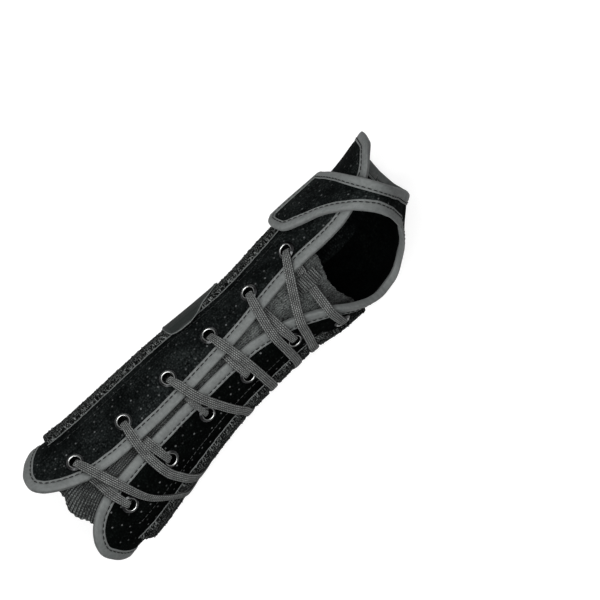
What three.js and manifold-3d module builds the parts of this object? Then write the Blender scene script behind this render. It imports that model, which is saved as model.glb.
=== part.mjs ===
// A laced wrist brace for the left hand, laced shut and lying on its little-finger side.
// Millimetres. +X runs along the sleeve to its hand end, +Y to its back panel, and +Z up to the lacing.
// Every piece is drawn on one sleeve, the brace's inner face: x is the place along it, turn is the angle round it
// from the lacing on top (positive to the back, negative to the palm), and lift is the height above it.
import * as THREE from "three";
import { mergeVertices } from "three/addons/utils/BufferGeometryUtils.js";
import Module from "manifold-3d";

const wasm = await Module();
wasm.setup();

// Cloth and lace thicknesses, and the clearance between two pieces.
const GAP = 0.3;
const PANEL = 3.0;
const BINDING = 0.5;
const BINDING_GAP = 0.6;
const BINDING_WIDTH = 4.6;
const STRAP_BINDING_WIDTH = 3.4;
const PAD = 2.6;
const STRAP = 2.4;
const PULL = 1.0;
const TONGUE = 1.5;
const LACE_WIDTH = 4.8;
const LACE_BUNCHED = 3.2;
const LACE_THICK = 1.8;

// The base is pressed flat where the brace lies: the sleeve's height there, and how deep the round is cut.
const SLEEVE_FLOOR = PANEL + GAP + PAD;
const BASE_SINK = 1.8;

// The sleeve: its y on the back and on the palm side, and its z under the lacing.
const SLEEVE = [
  { x: -130, back: 34.6, palm: -35.0, crown: 73.0 },
  { x: -108, back: 33.2, palm: -33.2, crown: 70.8 },
  { x: -97, back: 31.9, palm: -33.0, crown: 69.7 },
  { x: -84, back: 30.7, palm: -31.6, crown: 68.2 },
  { x: -66, back: 29.9, palm: -28.5, crown: 66.1 },
  { x: -46, back: 29.1, palm: -25.7, crown: 64.0 },
  { x: -26, back: 27.9, palm: -23.3, crown: 62.1 },
  { x: -10, back: 26.3, palm: -22.3, crown: 60.9 },
  { x: 4, back: 25.0, palm: -22.3, crown: 60.0 },
  { x: 16, back: 24.2, palm: -22.5, crown: 60.1 },
  { x: 30, back: 24.5, palm: -23.3, crown: 60.7 },
  { x: 46, back: 25.4, palm: -26.2, crown: 63.0 },
  { x: 60, back: 26.5, palm: -28.5, crown: 66.3 },
  { x: 74, back: 26.9, palm: -30.8, crown: 69.7 },
  { x: 82, back: 26.9, palm: -30.0, crown: 71.4 },
  { x: 97, back: 27.0, palm: -22.0, crown: 74.0 },
  { x: 108, back: 28.0, palm: -12.0, crown: 75.6 },
  { x: 118, back: 29.4, palm: -4.6, crown: 76.0 },
  { x: 130, back: 30.2, palm: 1.0, crown: 76.0 },
];

// Cut edges of the two panels. A point seen from above is given by y, one round the side by its turn.
const SEAM_TURN = 179.1;
const BACK_LACING_EDGE = [
  { x: -100, y: 6.9 },
  { x: -74, y: 3.0 },
  { x: -47, y: 2.0 },
  { x: -31, y: 2.2 },
  { x: -6, y: 3.0 },
  { x: 28, y: 6.0 },
  { x: 54, y: 7.9 },
  { x: 94, y: 9.6 },
];
const BACK_ELBOW_EDGE = [
  { x: -100, y: 6.9 },
  { x: -108, y: 10.3 },
  { x: -116.2, y: 15.2 },
  { x: -121.9, y: 20.2 },
  { x: -124.3, y: 25.0 },
  { x: -123.4, y: 29.0 },
  { x: -119.4, y: 33.2 },
  { x: -111.5, turn: 90 },
  { x: -109.5, turn: 120 },
  { x: -109, turn: SEAM_TURN },
];
const BACK_HAND_EDGE = [
  { x: 94, y: 9.6 },
  { x: 103, y: 12.2 },
  { x: 110.3, y: 16.2 },
  { x: 117.5, y: 22.5 },
  { x: 123, y: 28.5 },
  { x: 124.3, turn: 90 },
  { x: 121.5, turn: 120 },
  { x: 117.2, turn: 150 },
  { x: 116.4, turn: SEAM_TURN },
];
const THUMB_ROOT = { x: 105, turn: -66 };
const FINGER_ROOT = { x: 117.5, turn: -66 };
const PALM_LACING_EDGE = [
  { x: -100.7, y: -6.9 },
  { x: -91, y: -5.5 },
  { x: -74, y: -4.1 },
  { x: -47, y: -3.1 },
  { x: -23, y: -2.9 },
  { x: 3, y: -3.6 },
  { x: 20, y: -6.9 },
  { x: 37, y: -13.7 },
  { x: 51, y: -22.3 },
  { x: 59.5, y: -28.9 },
  { x: 69.7, turn: -87 },
  { x: 80, turn: -98 },
  { x: 91, turn: -97 },
  { x: 99, turn: -85 },
  THUMB_ROOT,
  FINGER_ROOT,
];
const PALM_ELBOW_EDGE = [
  { x: -100.7, y: -6.9 },
  { x: -108.5, y: -9.9 },
  { x: -114, y: -13.6 },
  { x: -118, y: -17.6 },
  { x: -121, y: -22.6 },
  { x: -122, y: -26.7 },
  { x: -120, y: -31.4 },
  { x: -113, turn: -90 },
  { x: -110, turn: -120 },
  { x: -109, turn: -SEAM_TURN },
];
const PALM_HAND_EDGE = [
  FINGER_ROOT,
  { x: 118.6, turn: -90 },
  { x: 118.2, turn: -120 },
  { x: 117, turn: -150 },
  { x: 116.4, turn: -SEAM_TURN },
];

// Where the panels are sampled: shares from the elbow to the hand, and from the lacing to the seam.
const BACK_COLUMNS = 19;
const PALM_COLUMNS = [
  0, 0.09, 0.18, 0.27, 0.36, 0.44, 0.51, 0.57, 0.63, 0.68, 0.73, 0.77, 0.805, 0.835, 0.865, 0.895,
  0.918,
];
const PALM_ROOT_SHARES = [0, 0.35, 0.7, 1];
const PANEL_ROWS = [
  0, 0.03, 0.06, 0.1, 0.14, 0.18, 0.22, 0.27, 0.33, 0.4, 0.48, 0.56, 0.64, 0.72, 0.8, 0.88, 0.94, 1,
];

// The knitted tongue under the lacing: how far it reaches at each side, its sunk middle and its sewn margins.
const TONGUE_SUNK = -4.2;
const TONGUE_SEWN = -1.7;
const TONGUE_ROWS = [0, 0.03, 0.075, 0.15, 0.23, 0.32, 0.41, 0.5, 0.59, 0.68, 0.77, 0.85, 0.925, 0.97, 1];
const TONGUE_COLUMNS = 15;
const TONGUE_SIDES = [
  { x: -120, back: 46, palm: -50 },
  { x: -20, back: 46, palm: -52 },
  { x: 28, back: 54, palm: -70 },
  { x: 64, back: 66, palm: -104 },
];
const TONGUE_ENDS = [
  { turn: -104, elbow: -113, hand: 61 },
  { turn: -62, elbow: -114.2, hand: 59.5 },
  { turn: -30, elbow: -114.8, hand: 58 },
  { turn: -16, elbow: -115.8, hand: 58.8 },
  { turn: -8, elbow: -117.9, hand: 59.9 },
  { turn: 1, elbow: -118.6, hand: 62 },
  { turn: 9, elbow: -117.7, hand: 63.4 },
  { turn: 17, elbow: -115.6, hand: 63.6 },
  { turn: 66, elbow: -114.8, hand: 64 },
];

// The pile pad round the little-finger side, and the hollow that the pull strap presses into its base. Off the pad,
// the same table gives how far the strap's tab sinks towards the panel.
const PAD_SEAT = PANEL + 2 * GAP;
const PAD_ELBOW = { back: -103.2, palm: -101.3 };
const PAD_HAND = 62;
const PAD_TAPER = { start: 44, end: 60, drop: 0.8 };
const PAD_BACK_TURN = 67;
const PAD_PALM_SIDE = [
  { x: -101, turn: 294 },
  { x: 36, turn: 294 },
  { x: 45, turn: 276 },
  { x: 56, turn: 268 },
  { x: 62, turn: 262 },
];
const PAD_SHARES = [
  0, 0.05, 0.1, 0.15, 0.2, 0.25, 0.3, 0.35, 0.39, 0.405, 0.42, 0.44, 0.5, 0.56, 0.58, 0.595, 0.61,
  0.65, 0.7, 0.75, 0.8, 0.85, 0.9, 0.95, 1,
];
const PAD_STATIONS = [-88, -74, -60, -46, -33, -30, -18, -6, 6, 18, 25, 28, 36, 45, 54, PAD_HAND];
const HOLLOW = { start: -33, full: -30, fullEnd: 25, end: 28, depth: PULL + GAP };
const HOLLOW_TURNS = [
  { turn: 56, share: 1 },
  { turn: 60, share: 0.9 },
  { turn: 64, share: 0.3 },
  { turn: 66, share: 0 },
  { turn: 118, share: 0 },
  { turn: 148, share: 1 },
  { turn: 206, share: 1 },
  { turn: 219, share: 0 },
];

// The pull strap: both its sides, from its finger tab on the back round the base to the laces.
const PULL_STRAP = [
  { turn: 56, elbowSide: -12.5, handSide: -6.5 },
  { turn: 57.8, elbowSide: -16, handSide: -3.5 },
  { turn: 61, elbowSide: -18.2, handSide: 0 },
  { turn: 67, elbowSide: -19.1, handSide: 5.8 },
  { turn: 73, elbowSide: -19.3, handSide: 10.6 },
  { turn: 79, elbowSide: -19.4, handSide: 13.8 },
  { turn: 86, elbowSide: -19.5, handSide: 16.6 },
  { turn: 100, elbowSide: -19.5, handSide: 17.2 },
  { turn: 206, elbowSide: -20, handSide: 17.2 },
  { turn: 219, elbowSide: -30, handSide: 20 },
  { turn: 242, elbowSide: -62, handSide: 33 },
];
const PULL_TURNS = [
  56, 57.8, 61, 64, 67, 70, 73, 79, 86, 98, 108, 118, 128, 138, 148, 155, 159, 163, 168, 180, 192, 197,
  201, 206, 212, 219, 227, 235, 242,
];
const PULL_ACROSS = 4;

// The thumb strap, from its root on the palm, through the thumb web, to its end on the back of the hand.
const STRAP_ROUTE = [
  { t: 0.0, thumb: { x: 105, turn: -63.5, lift: 0 }, finger: { x: 117.5, turn: -63.5, lift: 0 } },
  { t: 0.12, thumb: { x: 104.9, turn: -34, lift: 0 }, finger: { x: 116.4, turn: -44, lift: 0 } },
  { t: 0.28, thumb: { x: 99.6, y: 2.4, lift: 4.0 }, finger: { x: 112.4, y: 6, lift: 4.0 } },
  { t: 0.38, thumb: { x: 94.6, y: 8.4, lift: 5.7 }, finger: { x: 108.7, y: 12.5, lift: 5.7 } },
  { t: 0.6, thumb: { x: 81, y: 18.4, lift: 5.7 }, finger: { x: 102.3, y: 23, lift: 5.7 } },
  { t: 0.72, thumb: { x: 69.5, y: 23.2, lift: 5.8 }, finger: { x: 98, y: 29.5, lift: 4.6 } },
  { t: 0.85, thumb: { x: 60.6, y: 28, lift: 7.0 }, finger: { x: 95.5, turn: 72, lift: 4.7 } },
  { t: 0.94, thumb: { x: 58.6, turn: 70, lift: 7.2 }, finger: { x: 94.6, turn: 80, lift: 4.8 } },
  { t: 1.0, thumb: { x: 61.5, turn: 82, lift: 7.3 }, finger: { x: 93.5, turn: 86, lift: 4.9 } },
];
const STRAP_STATIONS = [
  0, 0.06, 0.12, 0.17, 0.22, 0.28, 0.33, 0.38, 0.45, 0.52, 0.6, 0.66, 0.72, 0.79, 0.85, 0.9, 0.94,
  0.97, 1,
];
const STRAP_ACROSS = 4;

// One row for each pair of eyelets, from the elbow to the hand, and the x of its lace on the way.
// It leaves the pull strap at slot, meets the pad's edge at rim, lies on the palm panel at mid and crosses the palm
// edge at over. Back from its eyelet it dives under the back edge at dive and climbs the palm edge at rise.
// Its lift is rest on the panel and cross over the edge.
const LACE_ROWS = [
  { backX: -99.4, backY: 17.0, palmX: -94.5, palmY: -18.1 },
  { backX: -67.1, backY: 14.1, palmX: -63.7, palmY: -16.3 },
  { backX: -35.3, backY: 13.6, palmX: -33.7, palmY: -13.1 },
  { backX: -4.9, backY: 14.3, palmX: -4.8, palmY: -13.9 },
  { backX: 25.3, backY: 15.4, palmX: 24.8, palmY: -17.9 },
  { backX: 54.6, backY: 17.2, palmX: 49.4, palmY: -28.4 },
];
const LACE_LINES = [
  { slot: -56, rim: -74.0, mid: -85.4, over: -91.4, dive: -98.3, rise: -97.4, rest: 4.4, cross: 5.9 },
  { slot: -46, rim: -63.2, mid: -69.2, over: -70.3, dive: -66.0, rise: -65.3, rest: 5.2, cross: 6.2 },
  { slot: -15, rim: -19, mid: -25.3, over: -31.0, dive: -35.4, rise: -35.0, rest: 4.4, cross: 7.4 },
  { slot: -1, rim: 0.4, mid: -0.2, over: -1.3, dive: -5.5, rise: -5.4, rest: 5.6, cross: 7.4 },
  { slot: 14, rim: 18.3, mid: 18.5, over: 18.9, dive: 23.6, rise: 24.0, rest: 5.2, cross: 6.2 },
  { slot: 28, rim: 29.4, mid: 31.5, over: 33.7, dive: 52.4, rise: 47.9, rest: 4.8, cross: 5.9 },
];
const LACE_PAIRS = [
  { name: "lace_elbow", first: 0, second: 1 },
  { name: "lace_middle", first: 2, second: 3 },
  { name: "lace_hand", first: 4, second: 5 },
];
const LACE_SIDES = 6;
const LACE_STEP = 8;
const LACE_FEWEST = 2;
const LACE_MOST = 3;
const LACE_LIFT = { under: -2.7, rim: 5.4, edge: 5.4, pad: SLEEVE_FLOOR + 0.5 + LACE_THICK / 2 };
const LACE_CLIMB = 3.6;
const PULL_LACE_TURN = -117;

// The eyelet's rolled washers either side of the panel.
const EYELET = {
  bore: 2.7,
  barrel: 3.2,
  flange: 4.7,
  under: -1.2,
  underTop: -0.7,
  seat: 3.25,
  rolled: 3.7,
  top: 4.0,
};
const EYELET_HOLE = 3.6;
const EYELET_SEGMENTS = 10;

// The keeper loop on the tongue that the last lace runs through.
const LOOP = { x: 49.8, turn: -2, width: 7, thick: 0.9, foot: TONGUE_SUNK + 2 * GAP, arch: -1.3 };
const LOOP_ROUTE = [
  { along: -8, share: 0 },
  { along: -5.4, share: 0 },
  { along: -3.4, share: 0.9 },
  { along: 0, share: 1 },
  { along: 3.4, share: 0.9 },
  { along: 5.4, share: 0 },
  { along: 8, share: 0 },
];

const COLOUR = {
  velour: { color: 0x101112, roughness: 0.95, metalness: 0 },
  binding: { color: 0x6b6e6e, roughness: 0.6, metalness: 0 },
  lace: { color: 0x4b4d4c, roughness: 0.85, metalness: 0 },
  knit: { color: 0x2f3131, roughness: 0.95, metalness: 0 },
  pile: { color: 0x191a1a, roughness: 1, metalness: 0 },
  pull: { color: 0x2b2e2d, roughness: 0.55, metalness: 0 },
  eyelet: { color: 0x5a5d5f, roughness: 0.28, metalness: 1 },
};

const radians = THREE.MathUtils.degToRad;
const brace = new THREE.Group();

// Reads a column of a table whose rows are in order of key, along a curve that never overshoots a row.
function read(table, key, at, column) {
  const last = table.length - 1;
  if (at <= table[0][key]) return table[0][column];
  if (at >= table[last][key]) return table[last][column];
  const from = table.findIndex((row) => row[key] > at) - 1;
  const width = table[from + 1][key] - table[from][key];
  const slope = (k) => (table[k + 1][column] - table[k][column]) / (table[k + 1][key] - table[k][key]);
  const tangent = (k) => {
    if (k === 0) return slope(0);
    if (k === last) return slope(last - 1);
    const before = slope(k - 1);
    const after = slope(k);
    return before * after <= 0 ? 0 : (2 * before * after) / (before + after);
  };
  const t = (at - table[from][key]) / width;
  const rise = t * t * (3 - 2 * t);
  return (
    table[from][column] * (1 - rise) +
    table[from + 1][column] * rise +
    tangent(from) * width * t * (1 - t) * (1 - t) -
    tangent(from + 1) * width * t * t * (1 - t)
  );
}

function sectionAt(x) {
  const back = read(SLEEVE, "x", x, "back");
  const palm = read(SLEEVE, "x", x, "palm");
  const crown = read(SLEEVE, "x", x, "crown");
  const halfHeight = (crown - SLEEVE_FLOOR + BASE_SINK) / 2;
  return { middle: (back + palm) / 2, halfDepth: (back - palm) / 2, halfHeight, centre: crown - halfHeight };
}

// A point of the sleeve. The turn is in radians.
function place(x, turn, lift) {
  const section = sectionAt(x);
  const y = section.middle + (section.halfDepth + lift) * Math.sin(turn);
  const round = section.centre + (section.halfHeight + lift) * Math.cos(turn);
  return new THREE.Vector3(x, y, Math.max(round, SLEEVE_FLOOR - lift));
}

// The turn at which a face at this lift, seen from above, has this y.
function turnAt(x, y, lift = PANEL) {
  const section = sectionAt(x);
  return Math.asin(THREE.MathUtils.clamp((y - section.middle) / (section.halfDepth + lift), -1, 1));
}

function sheetPoint(row, lift = PANEL) {
  return { x: row.x, turn: row.turn === undefined ? turnAt(row.x, row.y, lift) : radians(row.turn) };
}

// Millimetres of girth for each radian of turn.
function girth(x, turn, lift) {
  const step = 0.01;
  return place(x, turn + step, lift).distanceTo(place(x, turn - step, lift)) / (2 * step);
}

// The way straight out of the sleeve's surface.
function outward(x, turn) {
  const step = 0.01;
  const along = place(x + 1, turn, PANEL).sub(place(x - 1, turn, PANEL));
  const round = place(x, turn + step, PANEL).sub(place(x, turn - step, PANEL));
  return along.cross(round).normalize();
}

// A closed geometry from points and triangles, turned so that its faces point out.
function solid(points, triangles) {
  const position = new Float32Array(points.flatMap((p) => p.toArray()));
  const geometry = new THREE.BufferGeometry();
  geometry.setAttribute("position", new THREE.BufferAttribute(position, 3));
  const volume = triangles.reduce((sum, [a, b, c]) => {
    return sum + points[a].dot(new THREE.Vector3().crossVectors(points[b], points[c])) / 6;
  }, 0);
  const facing = volume < 0 ? triangles.map(([a, b, c]) => [a, c, b]) : triangles;
  geometry.setIndex(facing.flat());
  return geometry;
}

// A wall over a grid of sheet points; inner and outer give the lift of its two faces at a point.
function wall(grid, inner, outer) {
  const rows = grid.length;
  const columns = grid[0].length;
  const cells = grid.flat();
  const points = [inner, outer].flatMap((lift) => cells.map((p) => place(p.x, p.turn, lift(p))));
  const at = (layer, r, c) => (layer * rows + r) * columns + c;
  const triangles = [];
  const quad = (a, b, c, d) => triangles.push([a, b, c], [a, c, d]);
  for (let r = 0; r < rows - 1; r++) {
    for (let c = 0; c < columns - 1; c++) {
      quad(at(0, r, c), at(0, r + 1, c), at(0, r + 1, c + 1), at(0, r, c + 1));
      quad(at(1, r, c), at(1, r, c + 1), at(1, r + 1, c + 1), at(1, r + 1, c));
    }
    quad(at(0, r, 0), at(1, r, 0), at(1, r + 1, 0), at(0, r + 1, 0));
    quad(at(0, r + 1, columns - 1), at(1, r + 1, columns - 1), at(1, r, columns - 1), at(0, r, columns - 1));
  }
  for (let c = 0; c < columns - 1; c++) {
    quad(at(0, 0, c + 1), at(1, 0, c + 1), at(1, 0, c), at(0, 0, c));
    quad(at(0, rows - 1, c), at(1, rows - 1, c), at(1, rows - 1, c + 1), at(0, rows - 1, c + 1));
  }
  return solid(points, triangles);
}

// A tube through rings of points, with both ends closed by the triangles of its section.
function loft(rings, section) {
  const sides = rings[0].length;
  const outline = section.map(([across, up]) => new THREE.Vector2(across, up));
  const cap = THREE.ShapeUtils.triangulateShape(outline, []);
  const turned = THREE.ShapeUtils.area(outline) < 0;
  const triangles = [];
  const last = (rings.length - 1) * sides;
  for (const [a, b, c] of cap) {
    const [second, third] = turned ? [c, b] : [b, c];
    triangles.push([a, third, second], [last + a, last + second, last + third]);
  }
  for (let r = 0; r < rings.length - 1; r++) {
    for (let s = 0; s < sides; s++) {
      const next = (s + 1) % sides;
      const quad = [r * sides + s, r * sides + next, (r + 1) * sides + next, (r + 1) * sides + s];
      if (turned) quad.reverse();
      triangles.push([quad[0], quad[1], quad[2]], [quad[0], quad[2], quad[3]]);
    }
  }
  return solid(rings.flat(), triangles);
}

function addPiece(name, geometry, look) {
  const mesh = new THREE.Mesh(geometry, new THREE.MeshStandardMaterial(COLOUR[look]));
  mesh.name = name;
  brace.add(mesh);
  return mesh;
}

function manifoldOf(geometry) {
  const bare = geometry.clone();
  bare.deleteAttribute("normal");
  bare.deleteAttribute("uv");
  const merged = mergeVertices(bare, 1e-4);
  const vertProperties = new Float32Array(merged.attributes.position.array);
  const triVerts = new Uint32Array(merged.index.array);
  return new wasm.Manifold(new wasm.Mesh({ numProp: 3, vertProperties, triVerts }));
}

function cutHoles(geometry, drills) {
  const cut = drills.reduce((left, drill) => left.subtract(manifoldOf(drill)), manifoldOf(geometry));
  const mesh = cut.getMesh();
  const made = new THREE.BufferGeometry();
  made.setAttribute("position", new THREE.BufferAttribute(mesh.vertProperties, 3));
  made.setIndex(new THREE.BufferAttribute(mesh.triVerts, 1));
  return made;
}

// Panels

// The lacing edge as a table of turns, and an end edge as a table of shares from the lacing to the seam.
function turnsOf(edge) {
  return edge.map((row) => sheetPoint(row));
}

function sharesOf(edge, lacing, seam) {
  return edge.map((row) => {
    const point = sheetPoint(row);
    const start = read(lacing, "x", point.x, "turn");
    return { share: (point.turn - start) / (seam - start), x: point.x };
  });
}

function panelGrid(lacing, elbow, hand, seam, columns) {
  const elbowLine = sharesOf(elbow, lacing, seam);
  const handLine = sharesOf(hand, lacing, seam);
  return PANEL_ROWS.map((share) => {
    const start = read(elbowLine, "share", share, "x");
    const end = read(handLine, "share", share, "x");
    return columns.map((along) => {
      const x = THREE.MathUtils.lerp(start, end, along);
      return { x, turn: THREE.MathUtils.lerp(read(lacing, "x", x, "turn"), seam, share) };
    });
  });
}

// Shares of the palm panel's length, with a column exactly on the thumb strap's root.
function palmColumns() {
  const start = PALM_LACING_EDGE[0].x;
  const root = (THUMB_ROOT.x - start) / (FINGER_ROOT.x - start);
  const atRoot = PALM_ROOT_SHARES.map((share) => THREE.MathUtils.lerp(root, 1, share));
  return [...PALM_COLUMNS.filter((share) => share < root), ...atRoot];
}

function eyeletPlace(x, y) {
  const turn = turnAt(x, y);
  const stand = new THREE.Quaternion().setFromUnitVectors(new THREE.Vector3(0, 1, 0), outward(x, turn));
  return { position: place(x, turn, 0), stand };
}

function drillAt(x, y) {
  const depth = 4 * PANEL;
  const drill = new THREE.CylinderGeometry(EYELET_HOLE, EYELET_HOLE, depth, EYELET_SEGMENTS);
  const { position, stand } = eyeletPlace(x, y);
  return drill.applyQuaternion(stand).translate(position.x, position.y, position.z);
}

const evenly = (count) => Array.from({ length: count }, (_, i) => i / (count - 1));
const seam = radians(SEAM_TURN);
const backLacing = turnsOf(BACK_LACING_EDGE);
const palmLacing = turnsOf(PALM_LACING_EDGE);
const backGrid = panelGrid(backLacing, BACK_ELBOW_EDGE, BACK_HAND_EDGE, seam, evenly(BACK_COLUMNS));
const palmGrid = panelGrid(palmLacing, PALM_ELBOW_EDGE, PALM_HAND_EDGE, -seam, palmColumns());
const innerSide = () => 0;
const faceSide = () => PANEL;
const backDrills = LACE_ROWS.map((row) => drillAt(row.backX, row.backY));
const palmDrills = LACE_ROWS.map((row) => drillAt(row.palmX, row.palmY));
addPiece("back_panel", cutHoles(wall(backGrid, innerSide, faceSide), backDrills), "velour");
addPiece("palm_panel", cutHoles(wall(palmGrid, innerSide, faceSide), palmDrills), "velour");

// Thumb strap

const strapTable = STRAP_ROUTE.map((row) => {
  const thumb = sheetPoint(row.thumb, row.thumb.lift + STRAP);
  const finger = sheetPoint(row.finger, row.finger.lift + STRAP);
  return {
    t: row.t,
    thumbX: thumb.x,
    thumbTurn: thumb.turn,
    fingerX: finger.x,
    fingerTurn: finger.turn,
    thumbLift: row.thumb.lift,
    fingerLift: row.finger.lift,
  };
});
const strapGrid = STRAP_STATIONS.map((t) => {
  const row = (column) => read(strapTable, "t", t, column);
  return evenly(STRAP_ACROSS).map((across) => ({
    x: THREE.MathUtils.lerp(row("thumbX"), row("fingerX"), across),
    turn: THREE.MathUtils.lerp(row("thumbTurn"), row("fingerTurn"), across),
    lift: THREE.MathUtils.lerp(row("thumbLift"), row("fingerLift"), across),
  }));
});
addPiece("thumb_strap", wall(strapGrid, (p) => p.lift, (p) => p.lift + STRAP), "velour");

// Edge bindings: a folded tape with one leg on each face of the cloth, closed round the cut edge.

function bindingSection(thick, width = BINDING_WIDTH) {
  const inside = BINDING_GAP;
  const outside = BINDING_GAP + BINDING;
  return [
    [width, thick + inside],
    [width, thick + outside],
    [width / 2, thick + outside],
    [-inside, thick + outside],
    [-outside, thick],
    [-outside, 0],
    [-inside, -outside],
    [width, -outside],
    [width, -inside],
    [-inside, -inside],
    [-inside, thick + inside],
    [width / 2, thick + inside],
  ];
}

// The inward direction across the cloth at each point of its edge, in x and in girth.
function bindEdge(path, side) {
  const rings = path.map((point, i) => {
    const before = path[Math.max(i - 1, 0)];
    const after = path[Math.min(i + 1, path.length - 1)];
    const round = girth(point.x, point.turn, PANEL / 2);
    const along = new THREE.Vector2(after.x - before.x, (after.turn - before.turn) * round).normalize();
    const across = new THREE.Vector2(-along.y, along.x).multiplyScalar(side);
    const row = point.inward && new THREE.Vector2(point.inward.x, point.inward.turn * round).normalize();
    const inward = row || across;
    const lift = point.lift ?? 0;
    return bindingSection(point.thick ?? PANEL, point.width).map(([depth, height]) => {
      return place(point.x + depth * inward.x, point.turn + (depth * inward.y) / round, lift + height);
    });
  });
  return loft(rings, bindingSection(PANEL));
}

const columnOf = (grid, c) => grid.map((row) => row[c]);
const backPath = [
  ...columnOf(backGrid, 0).reverse(),
  ...backGrid[0].slice(1),
  ...columnOf(backGrid, BACK_COLUMNS - 1).slice(1),
];
addPiece("back_binding", bindEdge(backPath, 1), "binding");

const palmTop = palmGrid[0].filter((point) => point.x < THUMB_ROOT.x + 0.1);

// The strap's edge with its binding laid along the strap's rows, which keeps to the slope of the cloth.
function strapEdge(points, neighbours) {
  return points.map((point, i) => {
    const next = neighbours[i];
    const inward = next ? { x: next.x - point.x, turn: next.turn - point.turn } : null;
    return { ...point, thick: STRAP, width: STRAP_BINDING_WIDTH, inward };
  });
}

const strapRows = STRAP_STATIONS.length;
const sewnRows = strapRows - 3;

function strapSide(edge, next) {
  return strapEdge(columnOf(strapGrid, edge), columnOf(strapGrid, next).slice(0, sewnRows));
}

const palmPath = [
  ...columnOf(palmGrid, 0).reverse(),
  ...palmTop.slice(1),
  ...strapSide(0, 1),
  ...strapEdge(strapGrid[strapRows - 1].slice(1, -1), []),
  ...strapSide(STRAP_ACROSS - 1, STRAP_ACROSS - 2).reverse(),
  ...columnOf(palmGrid, palmGrid[0].length - 1),
];
addPiece("palm_binding", bindEdge(palmPath, -1), "binding");

// Tongue

function tongueGrid() {
  return TONGUE_ROWS.map((share) => {
    return evenly(TONGUE_COLUMNS).map((along) => {
      const roughX = THREE.MathUtils.lerp(-115, 60, along);
      const side = (column) => read(TONGUE_SIDES, "x", roughX, column);
      const degrees = THREE.MathUtils.lerp(side("back"), side("palm"), share);
      const elbow = read(TONGUE_ENDS, "turn", degrees, "elbow");
      const hand = read(TONGUE_ENDS, "turn", degrees, "hand");
      return { x: THREE.MathUtils.lerp(elbow, hand, along), turn: radians(degrees), share };
    });
  });
}

function tongueFace(point) {
  const reach = Math.min(point.share, 1 - point.share);
  const sunk = THREE.MathUtils.smoothstep(reach, TONGUE_ROWS[1] / 2, TONGUE_ROWS[2]);
  return THREE.MathUtils.lerp(TONGUE_SEWN, TONGUE_SUNK, sunk);
}

addPiece("tongue", wall(tongueGrid(), (p) => tongueFace(p) - TONGUE, tongueFace), "knit");

function loopGrid() {
  const turn = radians(LOOP.turn);
  const half = LOOP.width / 2 / girth(LOOP.x, turn, LOOP.foot);
  return LOOP_ROUTE.map((row) => {
    const lift = THREE.MathUtils.lerp(LOOP.foot, LOOP.arch, row.share);
    return [-half, half].map((side) => ({ x: LOOP.x + row.along, turn: turn + side, lift }));
  });
}

addPiece("tongue_loop", wall(loopGrid(), (p) => p.lift, (p) => p.lift + LOOP.thick), "lace");

// Pile pad and pull strap

// How far the pull strap is pressed into the pad at a turn, and the pad's hollow under it.
function pressAt(turn) {
  return HOLLOW.depth * read(HOLLOW_TURNS, "turn", THREE.MathUtils.radToDeg(turn), "share");
}

function hollowAt(x, turn) {
  const ramp = THREE.MathUtils.smoothstep;
  const hollow = pressAt(turn) * ramp(x, HOLLOW.start, HOLLOW.full) * (1 - ramp(x, HOLLOW.fullEnd, HOLLOW.end));
  return hollow + PAD_TAPER.drop * ramp(x, PAD_TAPER.start, PAD_TAPER.end);
}

const padGrid = PAD_SHARES.map((share) => {
  const elbow = THREE.MathUtils.lerp(PAD_ELBOW.back, PAD_ELBOW.palm, share);
  return [elbow, ...PAD_STATIONS].map((x) => {
    const palmSide = read(PAD_PALM_SIDE, "x", x, "turn");
    return { x, turn: radians(THREE.MathUtils.lerp(PAD_BACK_TURN, palmSide, share)) };
  });
});
addPiece("pile_pad", wall(padGrid, () => PAD_SEAT, (p) => SLEEVE_FLOOR - hollowAt(p.x, p.turn)), "pile");

const pullGrid = PULL_TURNS.map((turn) => {
  const elbowSide = read(PULL_STRAP, "turn", turn, "elbowSide");
  const handSide = read(PULL_STRAP, "turn", turn, "handSide");
  return evenly(PULL_ACROSS).map((across) => {
    return { x: THREE.MathUtils.lerp(elbowSide, handSide, across), turn: radians(turn) };
  });
});
const pullSeat = (p) => SLEEVE_FLOOR + GAP - pressAt(p.turn);
addPiece("pull_strap", wall(pullGrid, pullSeat, (p) => pullSeat(p) + PULL), "pull");

// Eyelets

function eyeletProfile() {
  const e = EYELET;
  const outline = [
    [e.bore, e.under],
    [e.flange, e.under],
    [e.flange, e.underTop],
    [e.barrel, e.underTop],
    [e.barrel, e.seat],
    [e.flange, e.seat],
    [e.flange, e.rolled],
    [(e.flange + e.bore) / 2, e.top],
    [e.bore, e.rolled],
    [e.bore, e.under],
  ];
  return outline.map(([radius, height]) => new THREE.Vector2(radius, height));
}

function addEyelet(name, x, y) {
  const { position, stand } = eyeletPlace(x, y);
  const eyelet = addPiece(name, new THREE.LatheGeometry(eyeletProfile(), EYELET_SEGMENTS), "eyelet");
  eyelet.position.copy(position);
  eyelet.quaternion.copy(stand);
}

LACE_ROWS.forEach((row, i) => {
  addEyelet(`back_eyelet_${i + 1}`, row.backX, row.backY);
  addEyelet(`palm_eyelet_${i + 1}`, row.palmX, row.palmY);
});

// Laces

// A point a few millimetres from an eyelet towards another sheet point, at a lift.
function beside(eyelet, towards, distance, lift, width = LACE_WIDTH) {
  const round = girth(eyelet.x, eyelet.turn, PANEL);
  const way = new THREE.Vector2(towards.x - eyelet.x, (towards.turn - eyelet.turn) * round).normalize();
  const x = eyelet.x + way.x * distance;
  return { x, turn: eyelet.turn + (way.y * distance) / round, lift, width };
}

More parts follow.
